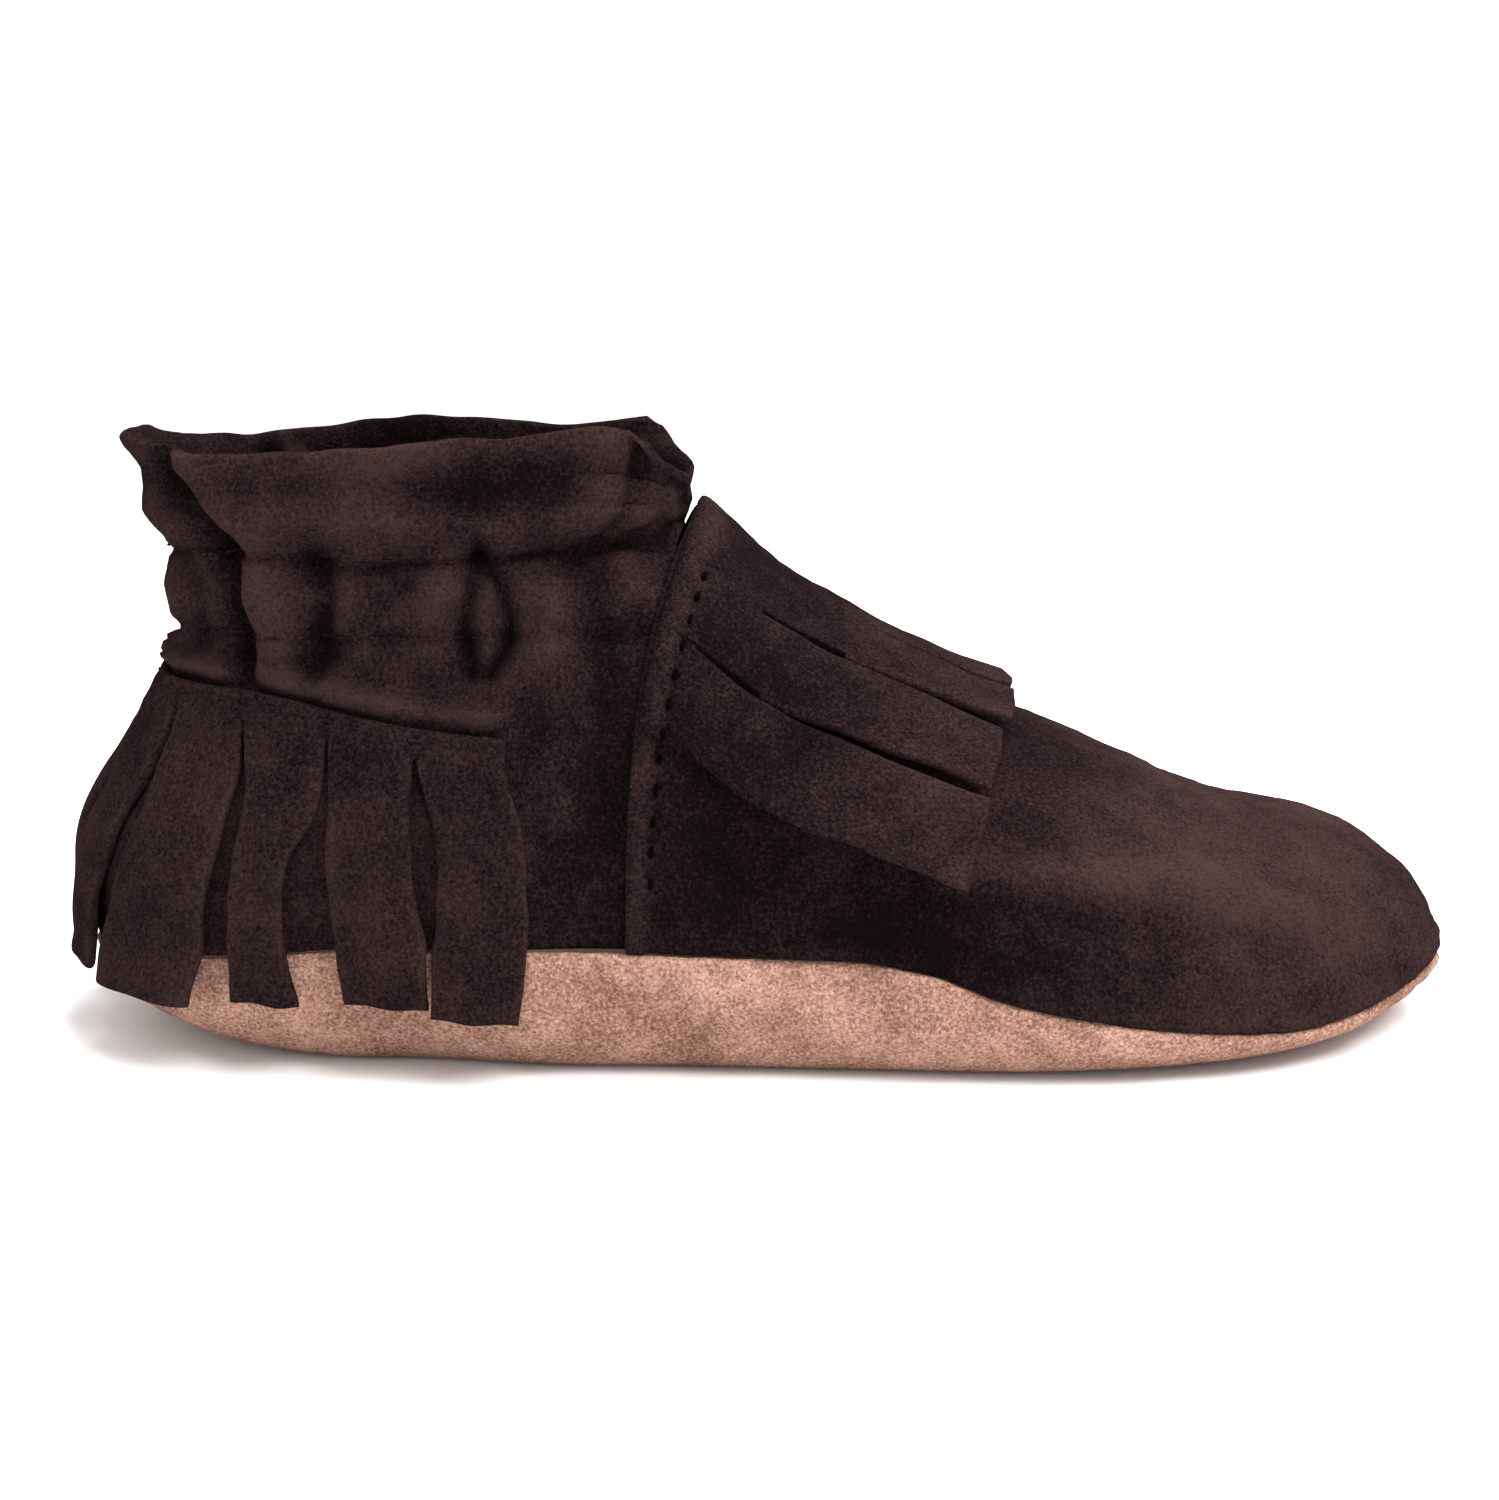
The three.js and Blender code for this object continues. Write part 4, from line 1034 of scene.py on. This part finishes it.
# %% The heel fringe's strips
# per strip, from the right front round the heel: both edges in mm from the strip's middle
# at five places from root to tip, then its curl at the tip and its extra length
heel_strips = [
    ((-3.8, -4.9, -4.9, -4.6, -4.0), (3.6, 2.4, 2.2, 2.6, 2.8), 0.9, 1.2),
    ((-3.4, -3.1, -3.3, -4.4, -4.6), (3.5, 3.7, 4.2, 3.6, 2.8), 0.4, 0.2),
    ((-3.8, -3.6, -1.1, -1.0, -2.1), (3.2, 2.5, 3.2, 3.5, 3.4), 0.6, 0.3),
    ((-4.1, -4.8, -4.1, -3.6, -2.5), (3.3, 3.4, 4.6, 6.6, 7.6), 0.9, 0.6),
    ((-3.6, -3.2, -1.8, 0.3, 1.4), (3.7, 4.4, 5.2, 6.2, 7.0), 0.7, 0.0),
    ((-3.7, -2.7, -1.9, -0.8, 0.0), (3.7, 4.0, 4.2, 4.6, 5.0), 0.5, 0.5),
    ((-3.7, -3.2, -2.9, -2.5, -2.2), (3.7, 3.3, 2.8, 3.0, 3.6), 0.7, 0.2),
    ((-3.7, -3.3, -2.9, -3.4, -3.9), (3.7, 3.6, 3.8, 3.6, 3.1), 0.5, 0.7),
    ((-3.7, -2.9, -2.2, -2.6, -3.4), (3.7, 4.0, 4.4, 4.0, 3.4), 0.9, 0.2),
    ((-3.7, -3.2, -2.5, -2.9, -3.7), (3.7, 3.4, 3.0, 3.4, 4.1), 0.5, 0.6),
    ((-3.7, -3.6, -3.9, -3.6, -2.9), (3.7, 3.5, 3.3, 3.4, 3.8), 0.8, 0.1),
    ((-3.7, -3.3, -2.8, -3.2, -3.5), (3.7, 4.1, 4.3, 4.4, 4.1), 0.7, 0.8),
]
PLACES = np.array([0, 0.25, 0.5, 0.75, 1])
for k, (low_edge, high_edge, curl, longer) in enumerate(heel_strips):
    centre = around_at((k + 0.5 - heel.per_side) * heel_pitch)
    c_stops, c_full = stops(24, heel_pitch)
    l_stops, l_full = stops(80, root_z(centre) - heel.end_z, first=False)
    along, across = np.meshgrid(l_stops, c_stops, indexing="ij")
    first = through(np.stack([PLACES, low_edge], -1))(along)
    last = through(np.stack([PLACES, high_edge], -1))(along)
    wave = 0.1 * ripples(np.stack([along * 20, 9.0 * np.sign(across - 0.5), 0 * along], -1), 4,
                         60 + k)
    offset = mix(first, last, across) + wave * np.abs(2 * across - 1) * ease(along, 0, 0.2)
    place = further(mix(root_z(centre), heel.end_z, along), centre, offset)
    end_z = heel.end_z - longer + 0.4 * (across - 0.5) + 0.12 * np.sin(across * 9 + k)
    strip_z = mix(root_z(place), end_z, along)
    p, n = quarter(strip_z, place), normal(quarter, strip_z, place)
    lift = heel.tip_lift * 0.5 * along**2 + 0.6 * curl * along**3
    lift = lift + 0.35 * (k % 2) * ease(along, 0.1, 0.5)
    lift = lift - 0.3 * (2 * across - 1) ** 2 * ease(along, 0.05, 0.4)
    own = 0.16 * ripples(p, 7, 80 + k) * ease(along, 0, 0.3)
    lift = lift + fringe_relief(p) * (1 - ease(along, 0, 0.3)) + own
    half = SUEDE / 2 * l_full[:, None] * c_full[None, :]
    cut = np.minimum(across, 1 - across) * (last - first)
    # Painted light in each strip's colour: painted shade and highlight following its own waves,
    # darker at the root under the lip, a painted highlight along the cut edges, darker on the
    # inner face.
    tone_and_painted_light = own * 1.5 + 0.3 * ease(along, 0, 0.5) - 0.2 + 0.6 * bell(cut, 0, 0.5)
    hung(f"heel_strip_suede_{k + 1}", skins(p, n, heel_out + lift, half, tone_and_painted_light, tone_and_painted_light - 0.3),
         f"heel_fringe_strip_{k + 1}", quarter(root_z(centre), centre))

# %% [markdown]
# ## The instep flap
# A flap covers the throat. Its rear edge is caught in the vamp's seam and its front is cut
# into seven strips that lie down over the instep. The slits show as thin dark lines that
# widen toward the tips, and the lowest strip stands off the vamp and shades it.


# %% The flap's band
def seam_x_at_arc(arc):
    """X of the vamp's edge at an arc distance from the ridge, found in four rounds."""
    x = np.full(np.shape(arc), float(seam.throat_x))
    for _ in range(4):
        x = seam_x(form_point(x, arc)[..., 2])
    return x


flap_out = GAP + SUEDE / 2
flap_reach = flap.strip_width * (len(flap.root_x) - 0.5)
flap_half = [(0.0, flap.root_x[0])]
for k, root_x in enumerate(flap.root_x):
    edge = flap.strip_width * (k + 0.5)
    last = k + 1 == len(flap.root_x)
    flap_half.append((edge - 1.5 * GAP, root_x))
    next_root_x = root_x if last else flap.root_x[k + 1]
    flap_half.append((edge if last else edge - 0.5 * GAP, next_root_x))
arc_at, root_at = np.array(flap_half).T
fine = np.unique(np.concatenate([np.linspace(0, flap_reach, 120), arc_at]))
arc_line = np.concatenate([-fine[:0:-1], fine])
front_line = np.interp(np.abs(arc_line), arc_at, root_at) + GAP


def flap_relief(p, x, arc):
    """The flap's small waves, its raised rear edge and its sunk stitch line."""
    back = x - seam_x_at_arc(arc)
    total = 0.14 * ripples(p, 10, 71) + 0.05 * ripples(p, 3, 72)
    sewn = ease(np.abs(arc), 9, 15)
    total = total + 0.1 * sewn * bell(back, 0.8, 0.9)
    return total - 0.34 * sewn * bell(back, seam.stitch_in, 0.35)


v_stops, v_full = stops(34, 10, last=False)
v, arc = np.meshgrid(v_stops, arc_line, indexing="ij")
x = mix(seam_x_at_arc(arc_line)[None, :], front_line[None, :], v)
p, n = form_point(x, arc), normal(form_point, x, arc)
# Painted light in the flap band's colour: a painted highlight on the ridge by its sewn rear edge,
# painted shade over the rest; the inner face takes shade from its relief.
flap_band_painted_light = 1.4 * bell(x - x[:1], 1.2, 1.3) - 1.2
side_full = np.interp(flap_reach - np.abs(arc_line), EDGE_AT, EDGE_FULL)
half = SUEDE / 2 * v_full[:, None] * side_full[None, :]
lift = flap_relief(p, x, arc)
both = skins(p, n, flap_out + lift, half, flap_band_painted_light, lift)
piece("flap_band_suede", *closed_sheet(*both), brown_suede, "shoe", "brown_suede",
      ["vamp_fringe_band"])

# %% The flap's strips
# per strip from the right side: curl at the tip, lift of its lower edge, slit's extra
# width at the tip, extra length, all in mm
flap_strips = [
    (0.7, 2.4, 0.8, 0.2), (0.4, 0.6, 0.9, 0.0), (0.5, 0.4, 0.8, 0.3), (0.6, 0.0, 0.8, 0.0),
    (0.4, 0.5, 0.8, -0.4), (0.6, 0.4, 0.7, 0.3), (0.5, 1.4, 0.8, -0.2),
]


def flap_tip(arc):
    """X of the strips' tips: swept back with the 1.5th power of the arc."""
    return flap.tip_x - flap.tip_sweep * (np.abs(arc) / flap_reach) ** 1.5


for k, (curl, hem, opening, longer) in enumerate(flap_strips):
    number = k + 1 - len(flap.root_x)
    centre = number * flap.strip_width
    outer_side = np.sign(number) if number else 1
    root = flap.root_x[abs(number)] + GAP
    c_stops, c_full = stops(26, flap.strip_width)
    l_stops, l_full = stops(60, 18, first=False)
    along, across = np.meshgrid(l_stops, c_stops - 0.5, indexing="ij")
    width = flap.strip_width - GAP * 0.4 - opening * ease(along, 0.1, 1)
    edge_wave = 0.1 * ripples(np.stack([along * 20, 9.0 * np.sign(across), 0 * along], -1), 5,
                              90 + k)
    arc = centre + across * width + edge_wave * np.abs(across) * 2
    x = mix(root, flap_tip(arc) + longer + 0.1 * np.sin(across * 8 + k), along)
    p, n = form_point(x, arc), normal(form_point, x, arc)
    toward_hem = np.clip(across * outer_side + 0.5, 0, 1)
    lift = flap.tip_lift * along**2 + curl * along**3
    lift = lift + hem * toward_hem**3 * ease(along, 0, 0.35)
    lift = lift + flap_relief(p, x, arc) * (1 - ease(along, 0, 0.25)) + 0.12 * ripples(
        p, 7, 100 + k) * ease(along, 0, 0.25)
    half = SUEDE / 2 * l_full[:, None] * c_full[None, :]
    cut = (0.5 - np.abs(across)) * width
    # The strips' colour: painted shade at the roots by the band, lighter toward the tips, random
    # tone from noise, a painted highlight along the cut edges, darker on the inner face.
    tone_and_painted_light = 1.1 * ease(x, 2, 18) + 0.2 * ripples(p, 9, 110 + k) - 0.9
    tone_and_painted_light = tone_and_painted_light + 0.5 * bell(cut, 0, 0.5)
    hung(f"flap_strip_suede_{k + 1}", skins(p, n, flap_out + lift, half, tone_and_painted_light, tone_and_painted_light - 0.3),
         f"vamp_fringe_strip_{k + 1}", form_point(root, centre))

# %% [markdown]
# ## Stitches
# Each stitch comes up through a hole, crosses the leather and goes down again, so a row is
# many small arched strands and not a line. One strand is a tube of a few dozen faces, and a
# row is that tube repeated along the seam, all in one mesh.


# %% Stitch rows
STITCH_RINGS = 7
STITCH_SIDES = 6
FINE_STITCH = (2.5, 0.55, 0.16, 0.13)  # pitch, share covered, rise, radius


def stitch_row(name, line, up, pitch, cover, rise, radius, material, nodes):
    """Stitches along line, a fine polyline of points, with up the surface normals there:
    each covers a share of the pitch and its height is rise times sin of the way along."""
    run = np.concatenate([[0], np.cumsum(np.linalg.norm(np.diff(line, axis=0), axis=-1))])
    count = int(run[-1] / pitch)
    start = (np.arange(count) + 0.5 * (1 - cover)) * run[-1] / count
    t = np.linspace(0, 1, STITCH_RINGS)
    at = start[:, None] + t[None, :] * pitch * cover

    def along_run(values):
        return np.stack([np.interp(at, run, values[:, i]) for i in range(3)], -1)

    centre, lift = along_run(line), along_run(up)
    lift /= np.linalg.norm(lift, axis=-1, keepdims=True)
    centre = centre + lift * (rise * np.sin(np.pi * t) - 0.55 * rise)[None, :, None]
    ahead = np.gradient(centre, axis=1)
    ahead /= np.linalg.norm(ahead, axis=-1, keepdims=True)
    beside = np.cross(ahead, lift)
    beside /= np.linalg.norm(beside, axis=-1, keepdims=True)
    over = np.cross(beside, ahead)
    turn = 2 * np.pi * np.arange(STITCH_SIDES) / STITCH_SIDES
    radius = radius * np.where((t == 0) | (t == 1), 0.55, 1.0)[None, :, None, None]
    ring = (beside[:, :, None] * np.cos(turn)[None, None, :, None]
            + over[:, :, None] * np.sin(turn)[None, None, :, None])
    tube = (centre[:, :, None] + ring * radius).reshape(count, -1, 3)
    face = quads(STITCH_RINGS, STITCH_SIDES, True)
    cap = np.arange(STITCH_SIDES)[None, :]
    far_cap = cap[:, ::-1] + (STITCH_RINGS - 1) * STITCH_SIDES
    shift = (np.arange(count) * STITCH_RINGS * STITCH_SIDES)[:, None, None]
    blocks = [(block[None] + shift).reshape(-1, block.shape[1])
              for block in (face[:, ::-1], cap, far_cap)]
    return piece(name, tube.reshape(-1, 3), blocks, material, "shoe", "thread", nodes)


def on_quarter(z, around, out):
    """A line over the quarter with its folds, out mm from its middle surface, and normals."""
    p, n = quarter(z, around), normal(quarter, z, around)
    return p + n * (quarter_relief(p, around) + out)[:, None], n


row_around = np.linspace(-casing.end, casing.end, 600)
for label, z in (("upper", casing.high - casing.row_in), ("lower", casing.low + casing.row_in)):
    line, up = on_quarter(np.full(600, z), row_around, SUEDE / 2 + 0.02)
    stitch_row(f"casing_stitches_{label}", line, up, *FINE_STITCH, brown_suede,
               [f"casing_thread_{label}"])

row_around = np.linspace(-0.98, 0.98, 600) * heel.front_end
z = fringe_top(row_around) - heel.row_in
p, n = quarter(z, row_around), normal(quarter, z, row_around)
line = p + n * (heel_out + SUEDE / 2 + fringe_relief(p) - 0.15)[:, None]
stitch_row("heel_band_stitches", line, n, *FINE_STITCH, brown_suede, ["heel_fringe_thread"])

for side, label in ((-1, "right"), (1, "left")):
    arc = side * np.linspace(14, 46, 300)
    x = seam_x_at_arc(arc) + seam.stitch_in
    p, n = form_point(x, arc), normal(form_point, x, arc)
    n *= np.sign((n * (p - [0, 0, 10])).sum(-1, keepdims=True))
    on_flap = 1 - ease(np.abs(arc), flap_reach + 0.4, flap_reach + 1.6)
    line = p + n * (on_flap * (GAP + SUEDE) - 0.26)[:, None]
    stitch_row(f"vamp_seam_stitches_{label}", line, n, 2.4, 0.42, 0.3, 0.26, waxed_thread,
               [f"vamp_seam_thread_{label}"])

share = np.linspace(0.004, 0.996, 900)
side = np.where(share < 0.5, -1, 1)
along = 1 - np.abs(1 - 2 * share)
beside = outline(along, side)[0]
lapped = ease(beside, -34, -18) * (1 - ease(beside, -3, 6))
x, y = outline(along, side, SOLE_SUEDE + 2 * GAP + 0.3 + lapped * (SUEDE + GAP))
line = np.stack([x, y, seam_z(x)], -1)
inward = np.stack([20 - x, -y, 0 * x], -1)
inward /= np.linalg.norm(inward, axis=-1, keepdims=True)
stitch_row("sole_seam_stitches", line, inward, 2.6, 0.7, 0.25, 0.24, waxed_thread,
           ["sole_seam_thread"])

# %% [markdown]
# ## Floor and light
# A pale floor and soft light from a wide panel above and in front, as in a plain studio.
# The world is pale too, so dark suede gets light from all sides.

# %% Floor
floor_mesh = bpy.data.meshes.new("floor")
reach = 3.0
floor_mesh.from_pydata([(-reach, -reach, 0), (reach, -reach, 0), (reach, reach, 0),
                        (-reach, reach, 0)], [], [(0, 1, 2, 3)])
floor = bpy.data.objects.new("floor", floor_mesh)
bpy.context.scene.collection.objects.link(floor)
floor_paint = bpy.data.materials.new("floor paint")
floor_paint.use_nodes = True
paint = floor_paint.node_tree.nodes["Principled BSDF"]
paint.inputs["Base Color"].default_value = (0.9, 0.9, 0.9, 1)
paint.inputs["Roughness"].default_value = 0.8
floor_mesh.materials.append(floor_paint)
print("floor", reach * 2, "m wide")


# %% Lights
def panel(name, place, aim, size, watts):
    """A square area light at place that faces aim."""
    data = bpy.data.lights.new(name, "AREA")
    data.size = size
    data.energy = watts
    lamp = bpy.data.objects.new(name, data)
    lamp.location = place
    direction = np.array(aim, float) - place
    flat_run = np.hypot(direction[0], direction[1])
    lamp.rotation_euler = (np.arctan2(flat_run, -direction[2]), 0,
                           np.arctan2(-direction[0], direction[1]))
    bpy.context.scene.collection.objects.link(lamp)


panel("key panel", (0.25, -0.25, 0.6), (0, 0, 0.02), 0.4, 6.0)
panel("top panel", (0.15, 0.25, 0.7), (0, 0, 0.02), 0.5, 9.0)
world = bpy.data.worlds.new("pale room")
world.use_nodes = True
world.node_tree.nodes["Background"].inputs["Color"].default_value = (1, 1, 1, 1)
world.node_tree.nodes["Background"].inputs["Strength"].default_value = 1.15
bpy.context.scene.world = world
bpy.context.scene.view_settings.view_transform = "Standard"
